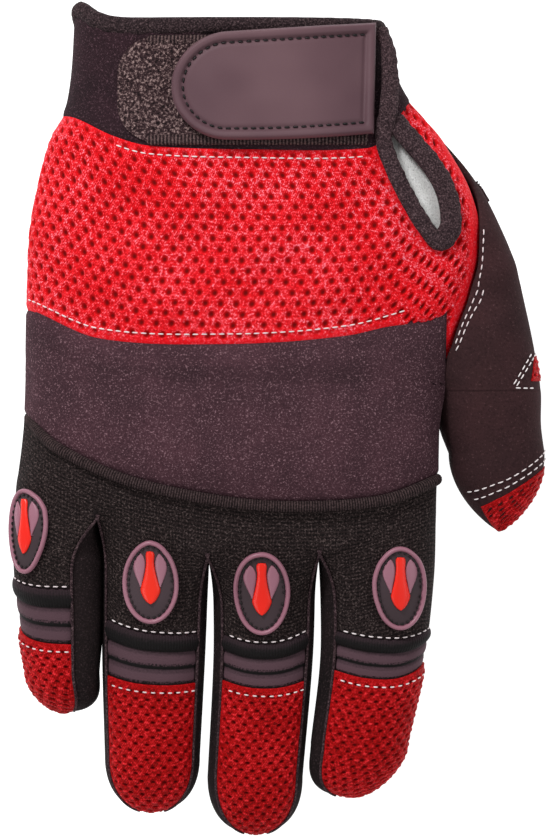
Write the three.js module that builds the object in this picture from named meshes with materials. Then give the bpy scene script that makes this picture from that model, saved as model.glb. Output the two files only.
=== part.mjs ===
// A right-hand riding glove, lying palm down with its thumb on the +X side.
// Millimetres. +Y runs from the fingertips to the cuff, +Z out of the back of the hand.
// The origin is under the middle of the glove, on the surface that it lies on.
//
// The hand is one cross-section that changes from the cuff to the knuckles. Each finger and the
// thumb is a tube of its own. Every panel is a piece of one of those skins, with a thickness.
import * as THREE from "three";

// ---- driving dimensions -------------------------------------------------------------------

const FABRIC = 1.9; // wall of a sewn panel: shell fabric, foam and lining together
const SEAM_GAP = 0.35; // half of the gap that is left between two panels at their seam
const CUFF_MOUTH_Y = 112.6; // back edge of the cuff
const CUFF_PEAK = 5.25; // how much higher the cuff stands on the little-finger side
const BINDING_WIDTH = 4.4; // folded edge binding, seen from above
const WRIST_SEAM_Y = 77.5; // cuff band to back panel, on the palm side and at the slit
const KNUCKLE_END_Y = -27.5; // the hand's single section ends and the four fingers start
const PALM_END_Y = 0; // the palm panel ends and the part that folds with the knuckles starts

// Outline of the hand, as stations of [y, value] from the cuff to the knuckles.
const HAND_LEFT = [[118, -56.6], [90, -59], [76, -65], [60, -68.5], [36, -70.8], [0, -71.6], [-30, -75.5]];
const HAND_RIGHT = [[118, 31], [104, 33.5], [90, 39], [77, 47.5], [64, 54.5], [52, 57.5], [36, 55],
  [18, 49.5], [0, 46], [-30, 45.2]];
const HAND_TOP = [[118, 32], [92, 32.5], [60, 35.5], [10, 37.5], [-14, 37], [-30, 33]];
const HAND_LEAN = [[118, 2], [70, 6], [-30, 9]]; // the crown sits towards the index finger
const HAND_WAIST = 15; // height at which the hand is widest
const TOP_SQUARENESS = 2.35;
const PALM_SQUARENESS = 3.4;
const PALM_FLAT = 1.2; // how far the palm's curve would reach below the surface it lies on

// Seams across the back, as stations of [x, y].
const CUFF_SEAM = [[-66, 86], [-58, 86], [-46, 80.3], [-36, 77.4], [-8, 76.2], [30, 76.8], [58, 84]];
const PAD_TOP_SEAM = [[-76, 32], [-70, 30.6], [-50, 22.3], [-13, 20.6], [20, 23], [48, 28.5], [60, 31]];
const PIPING_SEAM = [[-76, 3], [-70.8, -0.6], [-61.4, -8.5], [-41.6, -17.4], [-16, -23], [4, -24.6],
  [29.4, -23], [46, -17], [50, -15]];

// The wrist slit: a straight opening with a round lower end, on the thumb side of the back.
const SLIT_TOP = new THREE.Vector2(30.4, 78.6);
const SLIT_END = new THREE.Vector2(43.2, 54.6);
const SLIT_HALF = 2.9;

// One row a finger: stations run from the knuckles to the tip as [y, centre x, half width].
// "roll" turns the back of the finger towards +X, in degrees. "fold" is where the stretch panel
// starts and ends. "outer" is the side that has no fourchette.
const FINGERS = {
  little: { line: [[-27, -62, 12.3], [-42, -62.1, 12.5], [-60, -61.4, 11.4], [-72, -60.6, 10.3]],
    roll: -38, fold: [-46.5, -62], tip: [-58.6, -83.4], badgeY: -32.5, outer: "left", slim: 0.93 },
  ring: { line: [[-27, -34.6, 14.6], [-45, -34.8, 14.4], [-68, -35, 14.2], [-96, -35.3, 13.2]],
    roll: -9, fold: [-58.5, -74], tip: [-35.3, -111.8], badgeY: -46.2, outer: "none", slim: 1 },
  middle: { line: [[-27, -3.9, 15], [-45, -3.9, 14.6], [-68, -4, 14], [-102, -6.3, 13.2]],
    roll: 3, fold: [-61, -76], tip: [-6.1, -118.1], badgeY: -49.8, outer: "none", slim: 1 },
  index: { line: [[-27, 28.6, 15.6], [-45, 28.4, 15.6], [-68, 27.2, 14.4], [-92, 23.4, 13.4]],
    roll: 15, fold: [-60, -75], tip: [19.4, -107], badgeY: -48.2, outer: "right", slim: 1 },
};
const FINGER_MIDDLE = [[-27, 17.2], [-45, 15.6], [-68, 12.8], [-90, 10.8], [-118, 9.3]]; // axis height
const FINGER_HALF = [[-27, 14.4], [-45, 13.2], [-68, 11.6], [-90, 10.4], [-118, 9]]; // half thickness
const FINGER_SQUARENESS = 2.3;
const BACK_EDGE = 22; // degrees above the side at which the finger's back panel ends
const PALM_EDGE = -28; // and below it at which the palm panel starts

// Thumb stations: [y, left edge, right edge, axis height, half thickness].
const THUMB = [
  [44, 57.6, 67.4, 13.5, 9.5],
  [32, 54.6, 70, 13.5, 12],
  [20, 51, 72.8, 13.6, 13.2],
  [8, 48, 75, 13.4, 13.2],
  [-4, 47.4, 74.6, 13, 12.8],
  [-14, 49.7, 75.9, 12.4, 12],
];
const THUMB_TIP = [61.6, -31.8];
const THUMB_FOLD = [6, -8];
const THUMB_ROLL = 28; // the thumb's back faces up and outwards

const STRAP = { left: -28.5, right: 25.4, low: 79.2, high: 107.4, thick: 2.2, lift: 2.6 };
const LOOP_PATCH = { left: -44.4, right: 24, low: 79.4, high: 107.2, thick: 0.9 };
const HOOK_PATCH = { left: -24.5, right: 20, low: 82.5, high: 103.8, thick: 0.9 };
const BADGE = { width: 15.6, length: 23.8, thick: 1.5, inlayWidth: 10.6, inlayLength: 17.5 };

// ---- finishes -----------------------------------------------------------------------------

const finish = (color, roughness) => new THREE.MeshStandardMaterial({ color, roughness, metalness: 0 });
const RED_MESH = finish(0xcc1a20, 0.8);
const KNIT = finish(0x261c1b, 0.95);
const JERSEY = finish(0x31232a, 0.9);
const PLUM = finish(0x523941, 0.85);
const SUEDE = finish(0x422c2e, 0.95);
const LOOP = finish(0x5a4244, 0.95);
const BINDING = finish(0x403034, 0.95);
const PIPING = finish(0x382829, 0.6);
const FLEX = finish(0x3e2931, 0.7);
const TAB = finish(0x6d5258, 0.45);
const BADGE_RUBBER = finish(0x8a5d69, 0.5);
const INLAY_RED = finish(0xe4381c, 0.45);
const FOAM = finish(0x2b2b2e, 0.95);

// ---- shared geometry ----------------------------------------------------------------------

const DEG = Math.PI / 180;
const { lerp, smoothstep } = THREE.MathUtils;
const signedPower = (value, power) => Math.sign(value) * Math.abs(value) ** power;

/** Smooth value at one place along stations of [place, ..., value in that column]. */
function along(stations, place, column = 1) {
  const last = stations.length - 1;
  const step = Math.sign(stations[last][0] - stations[0][0]);
  const inside = step * THREE.MathUtils.clamp(
    step * place, step * stations[0][0], step * stations[last][0]);
  let i = 0;
  while (i < last - 1 && step * (inside - stations[i + 1][0]) > 0) i++;
  const slope = (k) => {
    const a = stations[Math.max(k - 1, 0)];
    const b = stations[Math.min(k + 1, last)];
    return (b[column] - a[column]) / (b[0] - a[0]);
  };
  const width = stations[i + 1][0] - stations[i][0];
  const t = (inside - stations[i][0]) / width;
  const [p, q] = [stations[i][column], stations[i + 1][column]];
  const [u, v] = [slope(i) * width, slope(i + 1) * width];
  return p + t * (u + t * (3 * (q - p) - 2 * u - v + t * (2 * (p - q) + u + v)));
}

/** A point of the hand's skin. Angle 0 is the thumb side, 90 the back, 180 the little-finger side. */
function handPoint(angle, y) {
  const left = along(HAND_LEFT, y);
  const right = along(HAND_RIGHT, y);
  const [c, s] = [Math.cos(angle * DEG), Math.sin(angle * DEG)];
  const half = (right - left) / 2;
  const power = 2 / (s >= 0 ? TOP_SQUARENESS : PALM_SQUARENESS);
  const rise = Math.abs(s) ** power;
  const lean = s > 0 ? along(HAND_LEAN, y) * rise : 0;
  const x = (left + right) / 2 + half * signedPower(c, power) + lean;
  const z = s >= 0
    ? lerp(HAND_WAIST, along(HAND_TOP, y), rise)
    : Math.max(0, HAND_WAIST - (HAND_WAIST + PALM_FLAT) * rise);
  return new THREE.Vector3(x, y, z);
}

/** The angle on the back of the hand at which its skin has this x. */
function backAngle(x, y) {
  let [low, high] = [0, 180];
  for (let i = 0; i < 40; i++) {
    const middle = (low + high) / 2;
    if (handPoint(middle, y).x > x) low = middle;
    else high = middle;
  }
  return (low + high) / 2;
}

/** The y at which a seam, given as stations of [x, y], crosses this angle of the hand. */
function seamAt(seam, angle) {
  let y = seam[3][1];
  for (let i = 0; i < 8; i++) y = along(seam, handPoint(angle, y).x);
  return y;
}

/** Share of its full size that a finger's section keeps at y, inside the round tip. */
function tipShare(y, last, end) {
  if (y >= last) return 1;
  const t = Math.min((last - y) / (last - end), 1);
  return Math.sqrt(Math.max(1 - t * t, 0));
}

/** A point of a finger's skin. The angle is measured as on the hand, before the finger's roll. */
function fingerPoint(finger, angle, y) {
  const last = finger.line[finger.line.length - 1];
  const [tipX, tipY] = finger.tip;
  const toTip = smoothstep(-y, -last[0], -tipY);
  const share = tipShare(y, last[0], tipY);
  const half = along(finger.line, y, 2) * share;
  const thick = along(FINGER_HALF, y) * finger.slim * share;
  const x0 = lerp(along(finger.line, y), tipX, toTip);
  const z0 = along(FINGER_MIDDLE, y) * lerp(1, finger.slim, 0.6) - 0.4;
  const power = 2 / FINGER_SQUARENESS;
  const turned = (angle - finger.roll) * DEG;
  const x = half * signedPower(Math.cos(turned), power);
  const z = thick * signedPower(Math.sin(turned), power);
  return new THREE.Vector3(x0 + x, y, Math.max(z0 + z, 0.02));
}

/** A point of the thumb's skin, on a section that runs from its left edge to its right edge. */
function thumbPoint(angle, y) {
  const last = THUMB[THUMB.length - 1][0];
  const share = tipShare(y, last, THUMB_TIP[1]);
  const left = along(THUMB, y, 1);
  const right = along(THUMB, y, 2);
  const toTip = smoothstep(-y, -last, -THUMB_TIP[1]);
  const x0 = lerp((left + right) / 2, THUMB_TIP[0], toTip);
  const power = 2 / FINGER_SQUARENESS;
  const [c, s] = [Math.cos(angle * DEG), Math.sin(angle * DEG)];
  const x = ((right - left) / 2) * share * signedPower(c, power);
  const z = along(THUMB, y, 4) * share * signedPower(s, power);
  return new THREE.Vector3(x0 + x, y, Math.max(along(THUMB, y, 3) + z, 0.02));
}

/** The outward direction of a skin at angle and y. */
function outward(skin, angle, y) {
  const across = skin(angle + 1.5, y).sub(skin(angle - 1.5, y));
  const lengthways = skin(angle, y - 0.4).sub(skin(angle, y + 0.4));
  return across.cross(lengthways).normalize();
}

/** Closed mesh from two grids of points, [row][column]: the upper skin and the lower one. */
function sheet(upper, lower, ring = false) {
  const [rows, cols] = [upper.length, upper[0].length];
  const place = (r, c, low) => (low ? rows * cols : 0) + r * cols + (c % cols);
  const index = [];
  const quad = (a, b, c, d) => index.push(a, b, c, a, c, d);
  const last = ring ? cols : cols - 1;
  for (let c = 0; c < last; c++) {
    for (let r = 0; r < rows - 1; r++) {
      quad(place(r, c, 0), place(r, c + 1, 0), place(r + 1, c + 1, 0), place(r + 1, c, 0));
      quad(place(r, c, 1), place(r + 1, c, 1), place(r + 1, c + 1, 1), place(r, c + 1, 1));
    }
    quad(place(0, c, 1), place(0, c + 1, 1), place(0, c + 1, 0), place(0, c, 0));
    quad(place(rows - 1, c, 0), place(rows - 1, c + 1, 0), place(rows - 1, c + 1, 1), place(rows - 1, c, 1));
  }
  for (let r = 0; r < rows - 1 && !ring; r++) {
    quad(place(r, 0, 0), place(r + 1, 0, 0), place(r + 1, 0, 1), place(r, 0, 1));
    quad(place(r, last, 1), place(r + 1, last, 1), place(r + 1, last, 0), place(r, last, 0));
  }
  const points = [...upper.flat(), ...lower.flat()];
  let volume = 0;
  for (let i = 0; i < index.length; i += 3) {
    const [a, b, c] = index.slice(i, i + 3).map((k) => points[k]);
    volume += a.dot(b.clone().cross(c));
  }
  if (volume < 0) index.reverse();
  const geometry = new THREE.BufferGeometry().setFromPoints(points);
  geometry.setIndex(index);
  geometry.computeVertexNormals();
  return geometry;
}

const glove = new THREE.Group();

/** Adds one named piece to the glove. */
function piece(name, geometry, material) {
  const mesh = new THREE.Mesh(geometry, material);
  mesh.name = name;
  glove.add(mesh);
}

/**
 * Adds a panel of a skin. "where" turns s and t, each 0 to 1, into [angle, y]. The panel reaches
 * from "lift" above the skin down by "thick".
 */
function panel(name, material, skin, where, { cols, rows, thick = FABRIC, lift = 0, ring = false }) {
  const upper = [];
  const lower = [];
  for (let r = 0; r <= rows; r++) {
    upper.push([]);
    lower.push([]);
    for (let c = 0; c < cols + (ring ? 0 : 1); c++) {
      const [angle, y] = where(c / cols, r / rows);
      const out = outward(skin, angle, y);
      upper[r].push(skin(angle, y).addScaledVector(out, lift));
      lower[r].push(skin(angle, y).addScaledVector(out, lift - thick));
    }
  }
  piece(name, sheet(upper, lower, ring), material);
}

/** Angle step that a length on the hand's skin is worth, near this angle. */
const gapAngle = (skin, angle, y) => SEAM_GAP / (skin(angle + 1, y).distanceTo(skin(angle, y)));

/** "where" of a panel between two seams of the hand and two angles, clear of both seams. */
function between(topSeam, lowSeam, fromAngle, toAngle) {
  return (s, t) => {
    const angle = lerp(fromAngle, toAngle, s);
    const high = (typeof topSeam === "number" ? topSeam : seamAt(topSeam, angle)) - SEAM_GAP;
    const low = (typeof lowSeam === "number" ? lowSeam : seamAt(lowSeam, angle)) + SEAM_GAP;
    return [angle, lerp(high, low, t)];
  };
}

// ---- cuff ---------------------------------------------------------------------------------

const CUFF_SPLIT = [24.4, 29.8]; // the cuff is open between these x, in line with the slit
const SIDE_LOW = -22; // angle at which the back's wrap meets the palm, on the thumb side
const SIDE_FAR = 196; // and on the little-finger side
const PALM_LOW = 360 + SIDE_LOW - 3; // the palm's own edges
const PALM_FAR = SIDE_FAR + 3;
const STRAP_BASE_LOW = 89; // lower edge of the side panel that the strap is sewn to

const cuffEdge = (angle) => CUFF_MOUTH_Y + CUFF_PEAK * Math.exp(-(((angle - 172) / 22) ** 2));

function buildCuff() {
  const underBinding = BINDING_WIDTH / 2;
  panel("cuff_band_back", JERSEY, handPoint, (s, t) => {
    const guess = lerp(SIDE_FAR, 50, s);
    const y0 = lerp(cuffEdge(guess) - underBinding, seamAt(CUFF_SEAM, guess) + SEAM_GAP, t);
    const angle = lerp(SIDE_FAR, backAngle(CUFF_SPLIT[0], y0), s);
    return [angle, lerp(cuffEdge(angle) - underBinding, seamAt(CUFF_SEAM, angle) + SEAM_GAP, t)];
  }, { cols: 13, rows: 2 });
  panel("cuff_band_palm", JERSEY, handPoint, (s, t) => [
    lerp(PALM_FAR, PALM_LOW, s),
    lerp(CUFF_MOUTH_Y - underBinding, WRIST_SEAM_Y + SEAM_GAP, t),
  ], { cols: 10, rows: 2 });
  panel("strap_base", JERSEY, handPoint, (s, t) => {
    const y = lerp(CUFF_MOUTH_Y - underBinding, STRAP_BASE_LOW, t);
    return [lerp(backAngle(CUFF_SPLIT[1], y), SIDE_LOW, s), y];
  }, { cols: 4, rows: 2 });
  const openFrom = backAngle(CUFF_SPLIT[0], CUFF_MOUTH_Y);
  const openTo = 360 + backAngle(CUFF_SPLIT[1], CUFF_MOUTH_Y);
  panel("cuff_binding", BINDING, handPoint, (s, t) => {
    const angle = lerp(openFrom, openTo, s);
    const edge = cuffEdge(angle);
    return [angle, lerp(edge, edge - underBinding + SEAM_GAP * 2, t)];
  }, { cols: 26, rows: 1, thick: 2.6 });
}

/** A flat piece that follows the back of the cuff, with round corners at its left end. */
function cuffPlate(name, material, size, lift, cols, rows) {
  const half = (size.high - size.low) / 2;
  const middle = (size.high + size.low) / 2;
  panel(name, material, handPoint, (s, t) => {
    const x = lerp(size.left, size.right, s ** 1.5);
    const inset = Math.max(0, 1 - (x - size.left) / half);
    const reach = half * Math.sqrt(Math.max(1 - inset * inset, 0.06));
    const y = lerp(middle + reach, middle - reach, t);
    return [backAngle(x, y), y];
  }, { cols, rows, thick: size.thick, lift });
}

function buildClosure() {
  cuffPlate("loop_patch", LOOP, LOOP_PATCH, LOOP_PATCH.thick + 0.5, 8, 2);
  cuffPlate("strap_hook", KNIT, HOOK_PATCH, STRAP.lift + 0.2, 6, 2);
  cuffPlate("strap_tab", TAB, STRAP, STRAP.lift + STRAP.thick + 0.6, 9, 3);
  panel("strap_binding", BINDING, handPoint, (s, t) => {
    const y = lerp(108, 84, t);
    return [backAngle(lerp(STRAP.right + 1, STRAP.right + 4, s), y), y];
  }, { cols: 1, rows: 4, thick: 2.2, lift: 3.4 });
}

// ---- back of the hand ---------------------------------------------------------------------

const slitAxis = SLIT_END.clone().sub(SLIT_TOP).normalize();
const slitSide = new THREE.Vector2(-slitAxis.y, slitAxis.x); // towards the thumb
const SLIT_CLEAR = SLIT_HALF + BINDING_WIDTH + SEAM_GAP * 3;

/** x of a line beside the slit, "off" away from its middle, at this y. */
function besideSlit(y, off) {
  const t = (y - SLIT_TOP.y) / slitAxis.y;
  return SLIT_TOP.x + slitAxis.x * t + off / slitSide.x;
}

/** x at which the back mesh is split, left of the slit and on below it. */
function meshSplit(y) {
  return Math.min(besideSlit(y, -SLIT_CLEAR), 38);
}

/** x of the side mesh's left edge: right of the slit, round its lower end, then on below it. */
function sideMeshEdge(y) {
  const drop = y - SLIT_END.y;
  if (drop > SLIT_CLEAR * slitSide.y) return besideSlit(y, SLIT_CLEAR);
  if (drop > -SLIT_CLEAR) return SLIT_END.x + Math.sqrt(SLIT_CLEAR ** 2 - drop ** 2);
  return meshSplit(y) + SEAM_GAP * 2;
}

function buildBack() {
  panel("back_mesh_panel", RED_MESH, handPoint, (s, t) => {
    const guess = lerp(SIDE_FAR, 50, s);
    const y0 = lerp(seamAt(CUFF_SEAM, guess) - SEAM_GAP, seamAt(PAD_TOP_SEAM, guess) + SEAM_GAP, t);
    const right = backAngle(meshSplit(y0), y0);
    const angle = lerp(SIDE_FAR, right, s);
    const y = lerp(seamAt(CUFF_SEAM, angle) - SEAM_GAP, seamAt(PAD_TOP_SEAM, angle) + SEAM_GAP, t);
    return [angle, y];
  }, { cols: 12, rows: 5 });

  const under = SLIT_END.y - SLIT_CLEAR;
  const sideRows = [86.5, 80, 72, 64, 58, 54, 50, under + 0.5, under - 0.6, 40, 34, 29.6];
  panel("side_mesh_panel", RED_MESH, handPoint, (s, t) => {
    const y = sideRows[Math.round(t * (sideRows.length - 1))];
    return [lerp(backAngle(sideMeshEdge(y), y), y > 42 ? SIDE_LOW : 9, s), y];
  }, { cols: 3, rows: sideRows.length - 1 });

  panel("knuckle_pad", PLUM, handPoint, between(PAD_TOP_SEAM, PIPING_SEAM, SIDE_FAR, 9),
    { cols: 14, rows: 4, lift: 0.8, thick: 1.3 });
  panel("knuckle_foam", FOAM, handPoint, (s, t) => {
    const angle = lerp(166, 22, s);
    return [angle, lerp(seamAt(PAD_TOP_SEAM, angle) - 4, seamAt(PIPING_SEAM, angle) + 4, t)];
  }, { cols: 10, rows: 3, lift: -1.3, thick: 2.6 });
}

/** A round bead along a line of [angle, y] on the hand's skin, sitting on it. */
function bead(name, material, route, radius, lift, sides, steps) {
  const points = route.map(([angle, y]) =>
    handPoint(angle, y).addScaledVector(outward(handPoint, angle, y), lift));
  const path = new THREE.CatmullRomCurve3(points);
  const section = new THREE.Shape();
  for (let i = 0; i < sides; i++) {
    const turn = (i / sides) * 2 * Math.PI;
    const [x, y] = [radius * Math.cos(turn), radius * Math.sin(turn)];
    if (i) section.lineTo(x, y);
    else section.moveTo(x, y);
  }
  piece(name, new THREE.ExtrudeGeometry(section, { steps, extrudePath: path }), material);
}

function buildEdges() {
  const piping = [];
  for (let i = 0; i <= 12; i++) {
    const angle = lerp(SIDE_FAR - 12, 12, i / 12);
    piping.push([angle, seamAt(PIPING_SEAM, angle) - 1.1]);
  }
  bead("knuckle_piping", PIPING, piping, 1.25, 2.6, 6, 18);

  const off = SLIT_HALF + BINDING_WIDTH / 2;
  const around = [];
  const addPoint = (p) => around.push([backAngle(p.x, p.y), p.y]);
  const length = SLIT_TOP.distanceTo(SLIT_END);
  for (const share of [0.14, 0.4, 0.7]) {
    addPoint(SLIT_TOP.clone().addScaledVector(slitAxis, share * length).addScaledVector(slitSide, -off));
  }
  for (let i = 0; i <= 4; i++) {
    const turn = (i / 4) * Math.PI;
    addPoint(SLIT_END.clone().addScaledVector(slitAxis, off * Math.sin(turn))
      .addScaledVector(slitSide, -off * Math.cos(turn)));
  }
  for (const share of [0.7, 0.4, 0.1]) {
    addPoint(SLIT_TOP.clone().addScaledVector(slitAxis, share * length).addScaledVector(slitSide, off));
  }
  bead("slit_binding", BINDING, around, BINDING_WIDTH / 2 - 0.15, -0.4, 8, 30);
}

// ---- palm ---------------------------------------------------------------------------------

function buildPalm() {
  panel("palm_panel", SUEDE, handPoint, between(WRIST_SEAM_Y, PALM_END_Y, PALM_FAR, PALM_LOW),
    { cols: 10, rows: 5 });
  panel("palm_reinforcement", SUEDE, handPoint, (s, t) => [lerp(222, 300, s), lerp(66, 10, t)],
    { cols: 5, rows: 3, lift: -FABRIC - 0.3, thick: 1 });
  const raised = (angle, y) => {
    const p = handPoint(angle, y);
    p.z += Math.max(0, 1.6 * smoothstep(-y, 0, 10)) * (angle > 180 ? 1 : 0);
    return p;
  };
  panel("palm_flex", SUEDE, raised, between(PALM_END_Y, KNUCKLE_END_Y, PALM_FAR + 5, PALM_LOW - 5),
    { cols: 8, rows: 3 });
  panel("knuckle_knit", KNIT, handPoint, (s, t) => {
    const angle = lerp(SIDE_FAR, SIDE_LOW, s);
    const top = seamAt(PIPING_SEAM, Math.min(Math.max(angle, 4), 184)) - 1;
    return [angle, lerp(Math.min(top, -0.6), KNUCKLE_END_Y + SEAM_GAP, t)];
  }, { cols: 14, rows: 2 });
}

// ---- fingers ------------------------------------------------------------------------------

/** A small plate on a finger's back: a disc drawn from a square grid, so it has no pole. */
function disc(name, material, skin, centreY, size, lift, thick, count) {
  panel(name, material, skin, (s, t) => {
    const [u, v] = [2 * s - 1, 2 * t - 1];
    const across = u * Math.sqrt(1 - (v * v) / 2) * (size.width / 2);
    const lengthways = v * Math.sqrt(1 - (u * u) / 2) * (size.length / 2);
    const y = centreY - lengthways;
    const perDegree = skin(115, y).distanceTo(skin(65, y)) / 50;
    return [90 - across / perDegree, y];
  }, { cols: count, rows: count, lift, thick });
}

function buildFinger(name, finger) {
  const skin = (angle, y) => fingerPoint(finger, angle, y);
  const [foldTop, foldEnd] = finger.fold;
  const rolled = (angle) => angle + finger.roll;
  const strip = (from, to, high, low) => (s, t) => [
    lerp(rolled(from) - gapAngle(skin, rolled(from), high), rolled(to) + gapAngle(skin, rolled(to), high), s),
    lerp(high - SEAM_GAP, low + SEAM_GAP, t),
  ];
  const backFrom = finger.outer === "left" ? 180 - PALM_EDGE : 180 - BACK_EDGE;
  const backTo = finger.outer === "right" ? PALM_EDGE : BACK_EDGE;
  const start = KNUCKLE_END_Y;
  panel(`${name}_back`, KNIT, skin, strip(backFrom, backTo, start, foldTop), { cols: 7, rows: 3 });
  panel(`${name}_palm`, SUEDE, skin, strip(360 + PALM_EDGE, 180 - PALM_EDGE, start, foldTop), { cols: 4, rows: 2 });
  if (finger.outer !== "left") {
    panel(`${name}_fourchette_little_side`, KNIT, skin, strip(180 - PALM_EDGE, 180 - BACK_EDGE, start, foldTop),
      { cols: 2, rows: 2 });
  }
  if (finger.outer !== "right") {
    panel(`${name}_fourchette_thumb_side`, KNIT, skin, strip(BACK_EDGE, PALM_EDGE, start, foldTop),
      { cols: 2, rows: 2 });
  }
  panel(`${name}_flex`, FLEX, skin, (s, t) => [360 * s, lerp(foldTop - SEAM_GAP, foldEnd + SEAM_GAP, t)],
    { cols: 14, rows: 2, ring: true, thick: 1.6 });

  const pole = finger.tip[1] + 0.25;
  const round = (t) => lerp(foldEnd - SEAM_GAP, pole, Math.sin((t * Math.PI) / 2));
  const tipBack = 8;
  panel(`${name}_tip_mesh`, RED_MESH, skin,
    (s, t) => [rolled(lerp(180 - tipBack - 1.6, tipBack + 1.6, s)), round(t)], { cols: 6, rows: 6 });
  panel(`${name}_tip_palm`, SUEDE, skin,
    (s, t) => [rolled(lerp(180 - tipBack + 1.6, 360 + tipBack - 1.6, s)), round(t)], { cols: 7, rows: 6 });

  const facing = (angle, y) => skin(angle + finger.roll, y);
  disc(`${name}_badge`, BADGE_RUBBER, facing, finger.badgeY, BADGE, 0.3 + BADGE.thick, BADGE.thick, 5);
  disc(`${name}_badge_inlay`, INLAY_RED, facing, finger.badgeY,
    { width: BADGE.inlayWidth, length: BADGE.inlayLength }, 1.4 + BADGE.thick, 0.8, 4);
}

// ---- thumb --------------------------------------------------------------------------------

function buildThumb() {
  const [foldTop, foldEnd] = THUMB_FOLD;
  const top = THUMB[0][0];
  panel("thumb_back", SUEDE, thumbPoint,
    (s, t) => [lerp(142, -12, s), lerp(top, foldTop + SEAM_GAP, t)], { cols: 7, rows: 4 });
  panel("thumb_palm", SUEDE, thumbPoint,
    (s, t) => [lerp(-16, -142, s), lerp(top, foldTop + SEAM_GAP, t)], { cols: 6, rows: 4 });
  panel("thumb_flex", SUEDE, thumbPoint,
    (s, t) => [360 * s, lerp(foldTop - SEAM_GAP, foldEnd + SEAM_GAP, t)],
    { cols: 14, rows: 2, ring: true, thick: 1.6 });
  const pole = THUMB_TIP[1] + 0.25;
  const round = (t) => lerp(foldEnd - SEAM_GAP, pole, Math.sin((t * Math.PI) / 2));
  panel("thumb_tip_back", SUEDE, thumbPoint,
    (s, t) => [THUMB_ROLL + lerp(210, -30, s), round(t)], { cols: 9, rows: 6 });
  panel("thumb_tip_palm", SUEDE, thumbPoint,
    (s, t) => [THUMB_ROLL + lerp(-33, -147, s), round(t)], { cols: 5, rows: 6 });
  panel("thumb_tip_mesh", RED_MESH, thumbPoint,
    (s, t) => [lerp(150, 30, s), lerp(-15.5, -28, t)], { cols: 5, rows: 3, lift: 1.2, thick: 0.8 });
}

buildCuff();
buildClosure();
buildBack();
buildEdges();
buildPalm();
for (const [name, finger] of Object.entries(FINGERS)) buildFinger(name, finger);
buildThumb();

export default glove;
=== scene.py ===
# %% [markdown]
# # A padded riding glove for the right hand
#
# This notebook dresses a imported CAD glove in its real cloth. The glove lies palm down. +Y runs
# from the fingertips to the cuff, +X points to the thumb and +Z comes out of the back of the
# hand. Blender works in metres. A glove maker thinks in millimetres, so every size below is in
# millimetres, and it is turned into metres at the moment a mesh is made.

# %% Frame
import math

import bpy
import numpy as np
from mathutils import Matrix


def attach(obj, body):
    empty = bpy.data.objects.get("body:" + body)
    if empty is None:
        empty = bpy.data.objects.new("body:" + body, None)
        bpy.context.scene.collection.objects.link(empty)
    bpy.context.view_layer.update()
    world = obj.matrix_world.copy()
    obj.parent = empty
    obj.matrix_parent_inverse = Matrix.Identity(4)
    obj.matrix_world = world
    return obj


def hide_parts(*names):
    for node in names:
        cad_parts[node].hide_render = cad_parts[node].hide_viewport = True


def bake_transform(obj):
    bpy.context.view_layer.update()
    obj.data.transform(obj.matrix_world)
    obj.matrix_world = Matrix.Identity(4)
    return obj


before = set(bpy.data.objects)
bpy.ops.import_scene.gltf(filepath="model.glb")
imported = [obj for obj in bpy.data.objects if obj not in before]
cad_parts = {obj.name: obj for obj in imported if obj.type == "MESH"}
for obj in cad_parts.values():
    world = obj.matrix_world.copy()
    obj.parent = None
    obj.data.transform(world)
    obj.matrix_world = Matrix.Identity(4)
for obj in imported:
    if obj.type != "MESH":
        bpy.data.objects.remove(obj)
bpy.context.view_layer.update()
MM = 0.001

# %% [markdown]
# ## Camera, light and table
#
# A catalogue picture of a glove is shot straight down with a long lens, so the sides hardly
# show and nothing bulges towards the camera. The lens is long and far away. Three large soft
# lamps stand round the glove: a strong one above the cuff, a fill on each side. A pale
# world closes the shadows. The table top is a plain sheet. It stands well below the glove, so
# that the fingers stay in sight when they curl.

# %% Camera
PICTURE_HEIGHT = 237.6  # what the long side of the picture covers
SENSOR = 36.0
CAMERA_DISTANCE = 1700.0
CAMERA_LEVEL = 14.0  # the outline of the glove is about this high above its palm
CAMERA_SHIFT = (-0.43, -0.15)  # the middle of the picture from the middle of the glove

camera_data = bpy.data.cameras.new("camera")
camera_data.sensor_width = SENSOR
camera_data.lens = SENSOR * CAMERA_DISTANCE / PICTURE_HEIGHT
camera_data.clip_end = 20
camera = bpy.data.objects.new("camera", camera_data)
camera.location = [c * MM for c in (*CAMERA_SHIFT, CAMERA_DISTANCE + CAMERA_LEVEL)]
bpy.context.scene.collection.objects.link(camera)
bpy.context.scene.camera = camera
print("lens, mm:", round(camera_data.lens))

# %% Light
WORLD_LIGHT = 0.42


def lamp(name, place, size, watts):
    """A square soft lamp at a place in millimetres, aimed at the middle of the glove."""
    data = bpy.data.lights.new(name, "AREA")
    data.size = size * MM
    data.energy = watts
    light = bpy.data.objects.new(name, data)
    light.location = [c * MM for c in place]
    light.rotation_euler = (-light.location).to_track_quat("-Z", "Y").to_euler()
    bpy.context.scene.collection.objects.link(light)


lamp("key_lamp", (-300, 560, 560), 150, 4.6)
lamp("fill_lamp", (620, -60, 520), 400, 1.3)
lamp("low_lamp", (-560, -420, 420), 400, 1.1)
world = bpy.data.worlds.new("world")
world.use_nodes = True
world.node_tree.nodes["Background"].inputs["Color"].default_value = (1, 1, 1, 1)
world.node_tree.nodes["Background"].inputs["Strength"].default_value = WORLD_LIGHT
bpy.context.scene.world = world
bpy.context.scene.view_settings.view_transform = "Standard"

# %% Table
TABLE_HALF = 2500.0
TABLE_LEVEL = -95.0  # low enough for the fingers to curl above it
TABLE_GREY, TABLE_GLOW = 0.6, 0.78  # the glow makes up for the light that the glove takes away

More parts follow.
